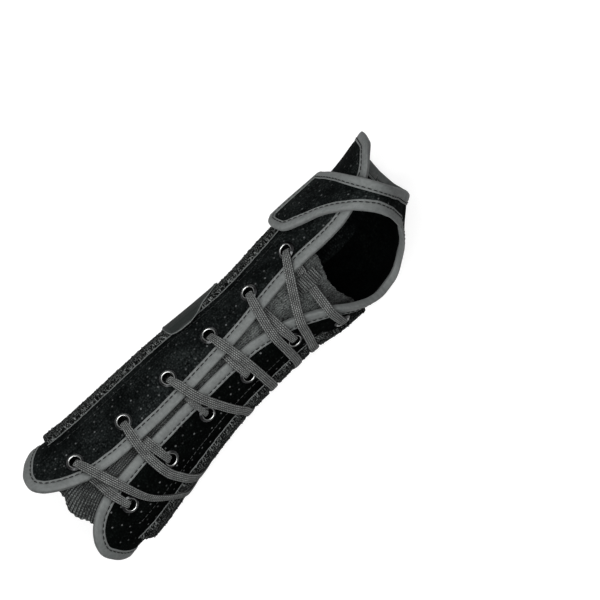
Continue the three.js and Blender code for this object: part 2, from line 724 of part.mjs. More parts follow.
// A strand from the pull strap over to the back eyelet, then back under the edge to the palm eyelet.
function laceRow(index) {
  const row = { ...LACE_ROWS[index], ...LACE_LINES[index] };
  const lift = LACE_LIFT;
  const back = { x: row.backX, turn: turnAt(row.backX, row.backY) };
  const palm = { x: row.palmX, turn: turnAt(row.palmX, row.palmY) };
  const palmEdge = { x: row.over, turn: read(palmLacing, "x", row.over, "turn") };
  const dive = { x: row.dive, turn: read(backLacing, "x", row.dive, "turn") };
  const rise = { x: row.rise, turn: read(palmLacing, "x", row.rise, "turn") };
  const rim = { x: row.rim, turn: radians(PAD_PALM_SIDE[0].turn - 360) };
  const width = LACE_WIDTH;
  const bunched = LACE_BUNCHED;
  const onPad = THREE.MathUtils.lerp(row.slot, row.rim, 0.72);
  const overPanel = { x: row.mid, turn: (rim.turn + palmEdge.turn) / 2 };
  const pull = [
    { x: row.slot, turn: radians(PULL_LACE_TURN), lift: lift.pad, width },
    { x: row.slot, turn: radians(PULL_LACE_TURN + 8), lift: lift.pad, width },
    { x: onPad, turn: radians(PULL_LACE_TURN + 30), lift: lift.pad, width },
    { ...rim, lift: lift.pad + 0.3, width },
    { ...overPanel, lift: row.rest, width },
    { ...palmEdge, lift: row.cross, width },
    beside(back, palmEdge, 7, 6.7),
    beside(back, palmEdge, 3.4, lift.rim, bunched),
  ];
  const turnDown = [
    beside(back, palmEdge, 0.9, 4.6, bunched),
    { ...back, lift: 1.5, width: bunched },
    beside(back, dive, 0.9, lift.under + 0.7, bunched),
    beside(back, dive, 3.4, lift.under, bunched),
  ];
  const gap = place(dive.x, dive.turn, 0).distanceTo(place(rise.x, rise.turn, 0));
  const clear = Math.min(gap / 2, LACE_CLIMB);
  const tongueStops = gap > 4 * LACE_CLIMB ? [0.25, 0.5, 0.75] : [];
  const across = [
    beside(dive, rise, -2.4, lift.under - 0.1),
    beside(dive, rise, 0.7, lift.under),
    ...tongueStops.map((share) => beside(dive, rise, gap * share, lift.under)),
    beside(rise, dive, clear, -1.1),
    beside(rise, dive, clear, 1.8),
    beside(rise, dive, clear - 0.3, 4.1),
    beside(rise, dive, 0.7, 5.4),
    beside(rise, palm, 3.0, lift.edge),
    beside(palm, rise, 3.4, lift.rim, bunched),
    beside(palm, rise, 0.9, 4.6, bunched),
    { ...palm, lift: 1.5, width: bunched },
  ];
  return { palm, points: [...pull, ...turnDown, ...across] };
}

function laceRoute(pair) {
  const first = laceRow(pair.first);
  const second = laceRow(pair.second);
  const under = LACE_LIFT.under;
  const between = [
    beside(first.palm, second.palm, 0.9, under + 0.7, LACE_BUNCHED),
    beside(first.palm, second.palm, 3.4, under, LACE_BUNCHED),
    beside(second.palm, first.palm, 3.4, under, LACE_BUNCHED),
    beside(second.palm, first.palm, 0.9, under + 0.7, LACE_BUNCHED),
  ];
  return [...first.points, ...between, ...second.points.reverse()];
}

// A lace is flat, so its width lies along the sleeve wherever it doesn't run through an eyelet.
function laceSides(points, tangents, normals) {
  const lying = 0.5;
  const sides = points.map((_, i) => new THREE.Vector3().crossVectors(tangents[i], normals[i]));
  const known = sides.map((side) => side.length() > lying);
  let previous = null;
  sides.forEach((side, i) => {
    if (!known[i]) return;
    if (previous && side.dot(previous) < 0) side.negate();
    previous = side.normalize();
  });
  return sides.map((side, i) => {
    if (known[i]) return side;
    const before = known.lastIndexOf(true, i);
    const after = known.indexOf(true, i);
    const near = before < 0 ? after : before;
    const far = after < 0 ? before : after;
    const share = far === near ? 0 : (i - near) / (far - near);
    const mixed = sides[near].clone().lerp(sides[far], share);
    return mixed.addScaledVector(tangents[i], -mixed.dot(tangents[i])).normalize();
  });
}

// Steps along a lace: a few between each two points of its route, and more where they lie far apart.
function laceShares(points) {
  const spans = points.length - 1;
  const shares = points.slice(1).flatMap((point, i) => {
    const wanted = Math.ceil(point.distanceTo(points[i]) / LACE_STEP);
    const count = THREE.MathUtils.clamp(wanted, LACE_FEWEST, LACE_MOST);
    return Array.from({ length: count }, (_, k) => (i + (k + 1) / count) / spans);
  });
  return [0, ...shares];
}

function laceGeometry(pair) {
  const route = laceRoute(pair);
  const stops = route.map((p) => place(p.x, p.turn, p.lift));
  const line = new THREE.CatmullRomCurve3(stops, false, "centripetal");
  const along = route.map((p, i) => ({ ...p, at: i / (route.length - 1) }));
  const shares = laceShares(line.points);
  const points = shares.map((t) => line.getPoint(t));
  const tangents = shares.map((t) => line.getTangent(t));
  const normals = shares.map((t) => outward(read(along, "at", t, "x"), read(along, "at", t, "turn")));
  const sides = laceSides(points, tangents, normals);
  const section = evenly(LACE_SIDES + 1).slice(1).map((share) => {
    const angle = 2 * Math.PI * share;
    return [Math.cos(angle) / 2, Math.sin(angle) / 2];
  });
  const rings = points.map((point, i) => {
    const up = new THREE.Vector3().crossVectors(sides[i], tangents[i]);
    const width = read(along, "at", shares[i], "width");
    return section.map(([across, high]) => {
      const corner = point.clone().addScaledVector(sides[i], across * width);
      return corner.addScaledVector(up, high * LACE_THICK);
    });
  });
  return loft(rings, section);
}

LACE_PAIRS.forEach((pair) => addPiece(pair.name, laceGeometry(pair), "lace"));

export default brace;
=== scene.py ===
"""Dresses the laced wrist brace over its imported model.

Metres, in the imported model's frame: +X runs along the sleeve to the hand's end, +Y to the back and +Z up
to the lacing. The classes hold their sizes in millimetres, and a mesh turns them into metres. Every piece is
drawn on one sleeve: x along it, turn round it from the lacing, and lift above its inner face.
"""

import logging
import math
from dataclasses import dataclass, field
from enum import Enum
from typing import Sequence

import bpy
import numpy as np
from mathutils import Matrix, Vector


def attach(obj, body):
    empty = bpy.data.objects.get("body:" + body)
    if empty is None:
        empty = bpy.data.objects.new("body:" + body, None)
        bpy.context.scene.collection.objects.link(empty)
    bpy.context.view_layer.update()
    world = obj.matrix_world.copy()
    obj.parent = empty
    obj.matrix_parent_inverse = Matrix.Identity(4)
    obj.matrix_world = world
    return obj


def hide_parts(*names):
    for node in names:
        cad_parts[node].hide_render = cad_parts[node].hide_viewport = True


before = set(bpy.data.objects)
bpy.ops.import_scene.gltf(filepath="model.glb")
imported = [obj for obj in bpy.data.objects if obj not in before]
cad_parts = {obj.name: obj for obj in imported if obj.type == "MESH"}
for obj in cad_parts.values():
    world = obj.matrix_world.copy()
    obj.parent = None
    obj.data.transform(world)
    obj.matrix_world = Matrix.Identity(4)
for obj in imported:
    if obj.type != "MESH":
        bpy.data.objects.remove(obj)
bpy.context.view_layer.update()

log = logging.getLogger("wrist_brace")

Array = np.ndarray
Colour = tuple[float, float, float]
Span = tuple[float, float]
Rows = tuple[tuple[float, ...], ...]
Grid = tuple[Array, Array]
Piece = bpy.types.Object
Material = bpy.types.Material
NodeTree = bpy.types.NodeTree
Node = bpy.types.Node
Socket = bpy.types.NodeSocket
Sockets = bpy.types.bpy_prop_collection

MM = 0.001
FLAT_MAP = "Cut"
LINING = np.array((0.0, 5000.0))


class Slot(Enum):
    """The record's material slots."""

    VELOUR = "velour"
    BINDING = "binding"
    KNIT = "knit"
    PILE = "pile"
    PULL_STRAP = "pull_strap"
    LACE = "lace"
    EYELET = "eyelet"


class Held(Enum):
    """How a sheet of cloth is held."""

    STRETCHED = "stretched"
    LAID = "laid"


class Edge(Enum):
    """Which of a panel's cut edges a line follows."""

    ELBOW = 0
    HAND = -1


def glide(rows: Rows | Array, at: Array, column: int = 1) -> Array:
    """Reads a column of a table along a curve that never overshoots a row.

    Args:
        rows: The table, with its first column rising.
        at: Where to read, in the first column's units.
        column: Which column to read.

    Returns:
        The values read, held level beyond the table's ends.
    """
    table = np.asarray(rows, float)
    keys, values = table[:, 0], table[:, column]
    slope = np.diff(values) / np.diff(keys)
    tangent = np.concatenate((slope[:1], np.zeros(len(keys) - 2), slope[-1:]))
    before, after = slope[:-1], slope[1:]
    same = before * after > 0
    tangent[1:-1][same] = 2 * before[same] * after[same] / (before[same] + after[same])
    at = np.clip(at, keys[0], keys[-1])
    k = np.clip(np.searchsorted(keys, at, side="right") - 1, 0, len(keys) - 2)
    width = keys[k + 1] - keys[k]
    t = (at - keys[k]) / width
    rise = t * t * (3 - 2 * t)
    bend = tangent[k] * width * t * (1 - t) ** 2 - tangent[k + 1] * width * t * t * (1 - t)
    return values[k] * (1 - rise) + values[k + 1] * rise + bend


def ramp(value: Array, low: float, high: float) -> Array:
    """Rises smoothly from 0 at low to 1 at high."""
    t = np.clip((value - low) / (high - low), 0.0, 1.0)
    return t * t * (3 - 2 * t)


def rounded(share: Array) -> Array:
    """Rises from 0 to 1 as a quarter round does, and stays there."""
    return np.sqrt(np.clip(1 - (1 - np.clip(share, 0, 1)) ** 2, 0, 1))


def lerp(low: Array, high: Array, share: Array) -> Array:
    """Goes straight from low to high by a share."""
    return low + (high - low) * share


def unit(vectors: Array) -> Array:
    """Scales vectors to length one."""
    return vectors / np.maximum(np.linalg.norm(vectors, axis=-1, keepdims=True), 1e-9)


class Ripple:
    """Seeded smooth noise over a flat cut, for folds and uneven cloth."""

    def __init__(self, seed: int, cells: int = 97) -> None:
        """Draws the lattice that the noise runs through.

        Args:
            seed: The seed of the draw.
            cells: The lattice's side, after which it repeats.
        """
        self.cells = cells
        self.lattice = np.random.default_rng(seed).uniform(-1.0, 1.0, (cells, cells))

    def at(self, u: Array, v: Array, size: float) -> Array:
        """Reads the noise.

        Args:
            u: Millimetres along the cut.
            v: Millimetres across the cut.
            size: Millimetres from one lattice point to the next.

        Returns:
            Values from -1 to 1.
        """
        a, b = u / size, v / size
        i, j = np.floor(a).astype(int), np.floor(b).astype(int)
        s, t = ramp(a - i, 0.0, 1.0), ramp(b - j, 0.0, 1.0)
        i0, j0 = i % self.cells, j % self.cells
        i1, j1 = (i + 1) % self.cells, (j + 1) % self.cells
        low = lerp(self.lattice[i0, j0], self.lattice[i1, j0], s)
        high = lerp(self.lattice[i0, j1], self.lattice[i1, j1], s)
        return lerp(low, high, t)


@dataclass(frozen=True)
class Sleeve:
    """The inner face that every piece is drawn on, pressed flat where the brace lies.

    A station is x, the back's y, the palm's y and the crown's z.
    """

    stations: Rows = (
        (-130, 34.6, -35, 73), (-108, 33.2, -33.2, 70.8), (-97, 31.9, -33, 69.7), (-84, 30.7, -31.6, 68.2),
        (-66, 29.9, -28.5, 66.1), (-46, 29.1, -25.7, 64), (-26, 27.9, -23.3, 62.1), (-10, 26.3, -22.3, 60.9),
        (4, 25, -22.3, 60), (16, 24.2, -22.5, 60.1), (30, 24.5, -23.3, 60.7), (46, 25.4, -26.2, 63),
        (60, 26.5, -28.5, 66.3), (74, 26.9, -30.8, 69.7), (82, 26.9, -30, 71.4), (97, 27, -22, 74),
        (108, 28, -12, 75.6), (118, 29.4, -4.6, 76), (130, 30.2, 1, 76),
    )
    floor: float = 5.9
    sink: float = 1.8
    cloth: float = 3.0

    def section(self, x: Array) -> tuple[Array, Array, Array, Array]:
        """Gives the oval across the sleeve.

        Args:
            x: Places along the sleeve.

        Returns:
            The oval's middle y, half depth, half height and centre z.
        """
        back, palm, crown = (glide(self.stations, x, column) for column in (1, 2, 3))
        half_height = (crown - self.floor + self.sink) / 2
        return (back + palm) / 2, (back - palm) / 2, half_height, crown - half_height

    def place(self, x: Array, turn: Array, lift: Array) -> Array:
        """Gives points of the sleeve.

        Args:
            x: Places along it.
            turn: Turns round it, in radians.
            lift: Heights above its inner face.

        Returns:
            Points in millimetres.
        """
        x, turn, lift = np.broadcast_arrays(np.asarray(x, float), turn, lift)
        middle, half_depth, half_height, centre = self.section(x)
        y = middle + (half_depth + lift) * np.sin(turn)
        z = np.maximum(centre + (half_height + lift) * np.cos(turn), self.floor - lift)
        return np.stack((x, y, z), axis=-1)

    def turn_at(self, x: Array, y: Array, lift: float | None = None) -> Array:
        """Gives the turn at which a face seen from above has this y.

        Args:
            x: Places along the sleeve.
            y: The y that is seen.
            lift: The face's lift, or None for the panels' face.

        Returns:
            Turns in radians.
        """
        middle, half_depth, _, _ = self.section(np.asarray(x, float))
        face = self.cloth if lift is None else lift
        return np.arcsin(np.clip((y - middle) / (half_depth + face), -1.0, 1.0))

    def girth(self, x: Array, turn: Array, lift: float) -> Array:
        """Measures the girth for each radian of turn.

        Args:
            x: Places along the sleeve.
            turn: Turns round it, in radians.
            lift: The height above its inner face.

        Returns:
            Millimetres.
        """
        step = 0.01
        across = self.place(x, turn + step, lift) - self.place(x, turn - step, lift)
        return np.linalg.norm(across, axis=-1) / (2 * step)

    def outward(self, x: Array, turn: Array) -> Array:
        """Gives the way straight out of the sleeve.

        Args:
            x: Places along the sleeve.
            turn: Turns round it, in radians.

        Returns:
            Vectors of length one.
        """
        step = 0.01
        along = self.place(x + 1.0, turn, self.cloth) - self.place(x - 1.0, turn, self.cloth)
        around = self.place(x, turn + step, self.cloth) - self.place(x, turn - step, self.cloth)
        return unit(np.cross(along, around))

    def wheel(self, spot: Span, count: int) -> tuple[Array, Array, Array]:
        """Gives a wheel that lies on the sleeve, for an eyelet or its hole.

        Args:
            spot: Its x and y, seen from above.
            count: How many spokes it has.

        Returns:
            Its centre on the inner face, the way out, and its spokes.
        """
        turn = self.turn_at(*spot)
        out = self.outward(spot[0], turn)
        side = unit(np.cross(out, (1.0, 0.0, 0.0)))
        angle = np.linspace(0, 2 * math.pi, count, endpoint=False)[:, None]
        return self.place(spot[0], turn, 0.0), out, np.cos(angle) * side + np.sin(angle) * np.cross(out, side)

    def cut(self, x: Array, turn: Array) -> Array:
        """Unrolls points of the sleeve to a flat cut.

        Args:
            x: Places along the sleeve.
            turn: Turns round it, in radians.

        Returns:
            Millimetres along the cut and round from the lacing.
        """
        nodes, weights = np.polynomial.legendre.leggauss(5)
        spots = [self.girth(x, turn * (1 + node) / 2, self.cloth) for node in nodes]
        around = turn / 2 * sum(weight * spot for weight, spot in zip(weights, spots))
        return np.stack((np.broadcast_to(x, around.shape), around), axis=-1)


SLEEVE = Sleeve()


@dataclass(frozen=True)
class CutEdge:
    """A cut edge of the cloth: first points seen from above by x and y, then by x and turn in degrees."""

    seen: Rows
    turned: Rows = ()

    def line(self) -> Array:
        """Gives the edge as rows of x and turn in radians."""
        above = [(x, float(SLEEVE.turn_at(x, y))) for x, y in self.seen]
        return np.array(above + [(x, math.radians(turn)) for x, turn in self.turned])


def quads_of(index: Array) -> Array:
    """Gives the four corners of each cell of a grid of point numbers."""
    corners = (index[:-1, :-1], index[1:, :-1], index[1:, 1:], index[:-1, 1:])
    return np.stack([corner.ravel() for corner in corners], axis=1)


def outfacing(points: Array, quads: Array) -> Array:
    """Turns a closed mesh's faces so that they point out.

    Args:
        points: The mesh's points.
        quads: Its faces, all turned alike.

    Returns:
        The faces.
    """
    a, b, c, d = (points[quads[:, k]] for k in range(4))
    volume = (a * np.cross(b, c)).sum() + (a * np.cross(c, d)).sum()
    return quads[:, ::-1] if volume < 0 else quads


def join_tubes(tubes: Sequence[Array]) -> tuple[Array, list[list[int]]]:
    """Closes tubes and gathers them into one mesh.

    Args:
        tubes: Each tube's points by ring and by side.

    Returns:
        The points and the faces.
    """
    made, faces, count = [], [], 0
    for rings in tubes:
        points = rings.reshape(-1, 3)
        index = np.arange(len(points)).reshape(rings.shape[:2])
        quads = quads_of(np.concatenate((index, index[:, :1]), axis=1))
        turned = outfacing(points, quads)
        ends = [index[0].tolist(), index[-1, ::-1].tolist()]
        if turned is not quads:
            ends = [end[::-1] for end in ends]
        faces += (turned + count).tolist() + [[k + count for k in end] for end in ends]
        made.append(points)
        count += len(points)
    return np.concatenate(made), faces


def make_piece(name: str, points: Array, faces: list, flat: Array, sharp: float = 55.0) -> Piece:
    """Makes a smooth-shaded mesh object.

    Args:
        name: The piece's name.
        points: Its points, in millimetres.
        faces: Its faces, as point numbers.
        flat: Each point's place on the flat cut, in millimetres.
        sharp: The angle in degrees above which an edge stays sharp.

    Returns:
        The object, linked to the scene.
    """
    mesh = bpy.data.meshes.new(name)
    mesh.from_pydata((points * MM).tolist(), [], faces)
    corners = np.empty(len(mesh.loops), dtype=np.int32)
    mesh.loops.foreach_get("vertex_index", corners)
    layer = mesh.uv_layers.new(name=FLAT_MAP)
    layer.data.foreach_set("uv", flat[corners].astype(np.float32).ravel())
    mesh.polygons.foreach_set("use_smooth", np.ones(len(mesh.polygons), dtype=bool))
    mesh.set_sharp_from_angle(angle=math.radians(sharp))
    piece = bpy.data.objects.new(name, mesh)
    bpy.context.scene.collection.objects.link(piece)
    return piece


def wall_piece(name: str, grid: Grid, inner: Array, outer: Array, flat: Array) -> Piece:
    """Makes a closed sheet of cloth on the sleeve.

    Args:
        name: The piece's name.
        grid: Its x and turn.
        inner: The lift of its inner face.
        outer: The lift of its outer face.
        flat: Its flat cut, in millimetres.

    Returns:
        The piece.
    """
    points = np.concatenate([SLEEVE.place(*grid, lift).reshape(-1, 3) for lift in (inner, outer)])
    spread = flat.reshape(-1, 2)
    count = len(spread)
    index = np.arange(count).reshape(flat.shape[:2])
    rim = np.concatenate((index[0], index[1:, -1], index[-1, -2::-1], index[-2:0:-1, 0]))
    ahead = np.roll(rim, -1)
    sides = np.stack((rim + count, ahead + count, ahead, rim), axis=1)
    quads = np.concatenate((quads_of(index)[:, ::-1], quads_of(index) + count, sides))
    faces = outfacing(points, quads).tolist()
    return make_piece(name, points, faces, np.concatenate((spread + LINING, spread)))


def tube_piece(name: str, rings: Array, flat: Array) -> Piece:
    """Makes a closed tube from its rings and its flat cut."""
    points, faces = join_tubes([rings])
    return make_piece(name, points, faces, flat.reshape(-1, 2))


def cord_piece(name: str, line: Array, out: Array, radius: float) -> Piece:
    """Makes a piece of fine cord.

    Args:
        name: Its name.
        line: Points along it.
        out: The way out of the cloth at each point.
        radius: Its radius.

    Returns:
        The piece.
    """
    side = unit(np.cross(unit(np.gradient(line, axis=0)), out))
    angle = np.arange(8) * math.pi / 4
    spoke = np.cos(angle)[None, :, None] * side[:, None] + np.sin(angle)[None, :, None] * out[:, None]
    flat = np.stack(np.broadcast_arrays(lengths_along(line)[:, None], radius * angle[None, :]), axis=-1)
    return tube_piece(name, line[:, None] + radius * spoke, flat)


def declare_sheet(piece: Piece, size: Span, middle: Array, held: Held, **links: Sequence) -> None:
    """Reports the cut of a piece of cloth.

    Args:
        piece: The piece.
        size: Its width and length as cut, in metres.
        middle: A grid of points half way through it, in millimetres.
        held: How it is held; not used.
        **links: What it rests on, or the pieces sewn to it; not used.
    """
    points = middle.reshape(-1, 3)
    quads = quads_of(np.arange(len(points)).reshape(middle.shape[:2]))
    a, b, c, d = (points[quads[:, k]] for k in range(4))
    area = float(np.linalg.norm(np.cross(c - a, d - b), axis=1).sum() / 2) * MM * MM
    area = min(area, size[0] * size[1])
    log.info("%s: cut %.0f x %.0f mm, %.4f m2", piece.name, size[0] / MM, size[1] / MM, area)


def lengths_along(points: Array) -> Array:
    """Measures how far along a line each of its points is."""
    steps = np.linalg.norm(np.diff(points, axis=0), axis=1)
    return np.concatenate(([0.0], np.cumsum(steps)))


def sampled(along: Array, values: Array, at: Array) -> Array:
    """Reads columns of values, known at places along a line, at other places."""
    return np.stack([np.interp(at, along, column) for column in values.T], axis=-1)


def smoothed(rows: Array, reach: int = 4) -> Array:
    """Evens out a table down its columns.

    Args:
        rows: The table.
        reach: How many rows on each side of a row take part.

    Returns:
        The evened table.
    """
    kernel = np.hanning(2 * reach + 1) / np.hanning(2 * reach + 1).sum()
    padded = np.pad(rows, ((reach, reach), (0, 0)), mode="edge")
    return np.stack([np.convolve(column, kernel, mode="valid") for column in padded.T], axis=1)


class Tree:
    """Short calls for building a node tree."""

    def __init__(self, tree: NodeTree) -> None:
        """Keeps the tree that the calls add to."""
        self.tree = tree

    def feed(self, socket: Socket, value: object) -> None:
        """Links a socket to another, or sets its value.

        Args:
            socket: The socket.
            value: Another socket, a colour or a number.
        """
        if isinstance(value, Socket):
            self.tree.links.new(value, socket)
        elif isinstance(value, tuple) and len(value) == 3 and socket.type == "RGBA":
            socket.default_value = (*value, 1.0)
        else:
            socket.default_value = value

    def add(self, kind: str, inputs: dict | None = None, **settings: object) -> Node:
        """Adds a node.

        Args:
            kind: The node's type.
            inputs: A value or a socket for each of its inputs that is set.
            **settings: The node's own properties.

        Returns:
            The node.
        """
        node = self.tree.nodes.new(kind)
        for key, value in settings.items():
            setattr(node, key, value)
        for key, value in (inputs or {}).items():
            self.feed(node.inputs[key], value)
        return node

    def math(self, operation: str, a: object, b: object = 0.0, clamp: bool = False) -> Socket:
        """Adds a sum of two numbers and gives its result."""
        return self.add("ShaderNodeMath", {0: a, 1: b}, operation=operation, use_clamp=clamp).outputs[0]

    def scaled(self, value: object, factor: float, start: float = 0.0) -> Socket:
        """Adds a number times a factor on top of a start, and gives its result."""
        return self.add("ShaderNodeMath", {0: value, 1: factor, 2: start}, operation="MULTIPLY_ADD").outputs[0]

    def blend(self, share: object, low: object, high: object) -> Socket:
        """Adds a mix of two colours and gives its result."""
        return self.add("ShaderNodeMix", {0: share, 6: low, 7: high}, data_type="RGBA").outputs[2]

    def spread(self, value: object, low: float, high: float) -> Socket:
        """Adds a smooth rise from 0 at low to 1 at high, and gives its result."""
        inputs = {"Value": value, "From Min": low, "From Max": high}
        return self.add("ShaderNodeMapRange", inputs, interpolation_type="SMOOTHSTEP").outputs[0]

    def noise(self, vector: object, scale: object, detail: float = 3.0) -> Socket:
        """Adds noise and gives its value."""
        inputs = {"Vector": vector, "Scale": scale, "Detail": detail, "Roughness": 0.6}
        return self.add("ShaderNodeTexNoise", inputs).outputs[0]


class Effects:
    """Shader effects that several finishes share, each built once."""

    def __init__(self) -> None:
        """Builds every effect."""
        self.mottle = self.build_mottle()
        self.lint = self.build_lint()
        self.chain = self.build_chain()
        self.wear = self.build_wear()
        self.curl = self.build_curl()

    @staticmethod
    def start(name: str, inputs: dict[str, str], outputs: dict[str, str]) -> tuple[Tree, Sockets, Sockets]:
        """Starts an effect.

        Args:
            name: The group's name.
            inputs: The kind of each input, by name.
            outputs: The kind of each output, by name.

        Returns:
            Its tree, what is given to it, and what it makes.
        """
        group = bpy.data.node_groups.new(name, "ShaderNodeTree")
        for way, sockets in (("INPUT", inputs), ("OUTPUT", outputs)):
            for key, kind in sockets.items():
                group.interface.new_socket(name=key, in_out=way, socket_type=f"NodeSocket{kind}")
        tree = Tree(group)
        return tree, tree.add("NodeGroupInput").outputs, tree.add("NodeGroupOutput").inputs

    def build_mottle(self) -> NodeTree:
        """Builds the uneven colour of fibres, from a fine and a broad noise.

        Returns:
            The group.
        """
        tree, given, made = self.start(
            "Fibre mottle",
            {"Vector": "Vector", "Size": "Float", "Dark": "Color", "Light": "Color"},
            {"Colour": "Color", "Height": "Float"},
        )
        scale = tree.math("DIVIDE", 1.0, given["Size"])
        fine = tree.noise(given["Vector"], scale, 4.0)
        broad = tree.noise(given["Vector"], tree.scaled(scale, 0.13), 2.0)
        both = tree.math("ADD", tree.scaled(fine, 0.68), tree.scaled(broad, 0.32))
        share = tree.spread(both, 0.34, 0.66)
        colour = tree.blend(share, given["Dark"], given["Light"])
        tree.feed(made["Colour"], colour)
        tree.feed(made["Height"], fine)
        return tree.tree

    def build_lint(self) -> NodeTree:
        """Builds scattered specks, some of them missing.

        Returns:
            The group.
        """
        tree, given, made = self.start(
            "Lint",
            {"Vector": "Vector", "Spacing": "Float", "Size": "Float", "Evenness": "Float", "Missing": "Float"},
            {"Mask": "Float"},
        )
        spacing = given["Spacing"]
        inputs = {
            "Vector": given["Vector"],
            "Scale": tree.math("DIVIDE", 1.0, spacing),
            "Randomness": tree.math("SUBTRACT", 1.0, given["Evenness"]),
        }
        cells = tree.add("ShaderNodeTexVoronoi", inputs, voronoi_dimensions="2D", feature="F1")
        reach = tree.math("MULTIPLY", cells.outputs["Distance"], spacing)
        near = tree.math("SUBTRACT", 1.0, tree.math("DIVIDE", reach, given["Size"]), clamp=True)
        dot = tree.spread(near, 0.0, 0.55)
        drawn = tree.add("ShaderNodeSeparateColor", {0: cells.outputs["Color"]}).outputs[0]
        kept = tree.math("SUBTRACT", drawn, given["Missing"], clamp=True)
        tree.feed(made["Mask"], tree.math("MULTIPLY", dot, kept, clamp=True))
        return tree.tree

    def build_chain(self) -> NodeTree:
        """Builds columns of chain stitches, each slanting to the middle of its column.

        Returns:
            The group.
        """
        tree, given, made = self.start(
            "Chain stitch",
            {"Vector": "Vector", "Column": "Float", "Stitch": "Float"},
            {"Height": "Float", "Gap": "Float"},
        )
        axes = tree.add("ShaderNodeSeparateXYZ", {0: given["Vector"]})
        column = tree.math("DIVIDE", axes.outputs["Y"], given["Column"])
        number = tree.math("FLOOR", column)
        off = tree.math("ABSOLUTE", tree.math("SUBTRACT", tree.math("SUBTRACT", column, number), 0.5))
        slant = tree.math("ADD", tree.scaled(off, 0.9), tree.scaled(number, 0.5))
        row = tree.math("ADD", tree.math("DIVIDE", axes.outputs["X"], given["Stitch"]), slant)
        lump = tree.scaled(tree.math("COSINE", tree.scaled(row, 2 * math.pi)), 0.38, 0.62)
        ridge = tree.math("SUBTRACT", 1.0, tree.math("POWER", tree.scaled(off, 2.0), 2.6))
        tree.feed(made["Height"], tree.math("MULTIPLY", ridge, lump))
        # The gap mask: where finishes paint shade between the stitches.
        crest = tree.math("SUBTRACT", 1.0, tree.spread(off, 0.22, 0.42))
        stitch = tree.scaled(tree.spread(lump, 0.3, 0.75), 0.7, 0.3)
        tree.feed(made["Gap"], tree.math("SUBTRACT", 1.0, tree.math("MULTIPLY", crest, stitch)))
        return tree.tree

    def build_wear(self) -> NodeTree:
        """Builds a rubbed mask along the edges that stand out.

        Returns:
            The group.
        """
        tree, given, made = self.start("Edge wear", {"Vector": "Vector", "Size": "Float"}, {"Mask": "Float"})
        point = tree.add("ShaderNodeNewGeometry").outputs["Pointiness"]
        edge = tree.spread(point, 0.5, 0.62)
        rub = tree.noise(given["Vector"], tree.math("DIVIDE", 1.0, given["Size"]), 4.0)
        tree.feed(made["Mask"], tree.math("MULTIPLY", edge, tree.spread(rub, 0.3, 0.62)))
        return tree.tree

    def build_curl(self) -> NodeTree:
        """Builds curled yarn, from the level lines of a noise.

        Returns:
            The group.
        """
        tree, given, made = self.start("Curled yarn", {"Vector": "Vector", "Size": "Float"}, {"Mask": "Float"})
        scale = tree.math("DIVIDE", 1.0, given["Size"])
        off = tree.math("ABSOLUTE", tree.math("SUBTRACT", tree.noise(given["Vector"], scale, 1.0), 0.5))
        patches = tree.noise(given["Vector"], tree.scaled(scale, 0.75), 2.0)
        broken = tree.spread(patches, 0.36, 0.56)
        line = tree.math("SUBTRACT", 1.0, tree.spread(off, 0.012, 0.06))
        tree.feed(made["Mask"], tree.math("MULTIPLY", line, broken))
        return tree.tree


class Surface:
    """A material in the making: its tree, its flat cut and its shader."""

    def __init__(self, name: str, constants: dict[str, object]) -> None:
        """Starts a material.

        Args:
            name: The material's name.
            constants: The shader's values that are the same all over.
        """
        self.material = bpy.data.materials.new(name)
        self.material.use_nodes = True
        self.tree = Tree(self.material.node_tree)
        self.shader = self.material.node_tree.nodes["Principled BSDF"]
        for key, value in constants.items():
            self.tree.feed(self.shader.inputs[key], value)
        self.cut = self.tree.add("ShaderNodeUVMap", uv_map=FLAT_MAP).outputs[0]

    def use(self, effect: NodeTree, **inputs: object) -> Sockets:
        """Places a shared effect over the flat cut with its own values, and gives its outputs."""
        return self.tree.add("ShaderNodeGroup", {"Vector": self.cut, **inputs}, node_tree=effect).outputs

    def paint(self, colour: object, rough: object, height: object, depth: float) -> Material:
        """Feeds the shader.

        Args:
            colour: The base colour.
            rough: The roughness.
            height: The height that makes the bump.
            depth: The bump's depth in millimetres.

        Returns:
            The finished material.
        """
        self.tree.feed(self.shader.inputs["Base Color"], colour)
        self.tree.feed(self.shader.inputs["Roughness"], rough)
        bump = self.tree.add("ShaderNodeBump", {"Height": height, "Strength": 0.8, "Distance": depth * MM})
        self.tree.feed(self.shader.inputs["Normal"], bump.outputs[0])
        return self.material


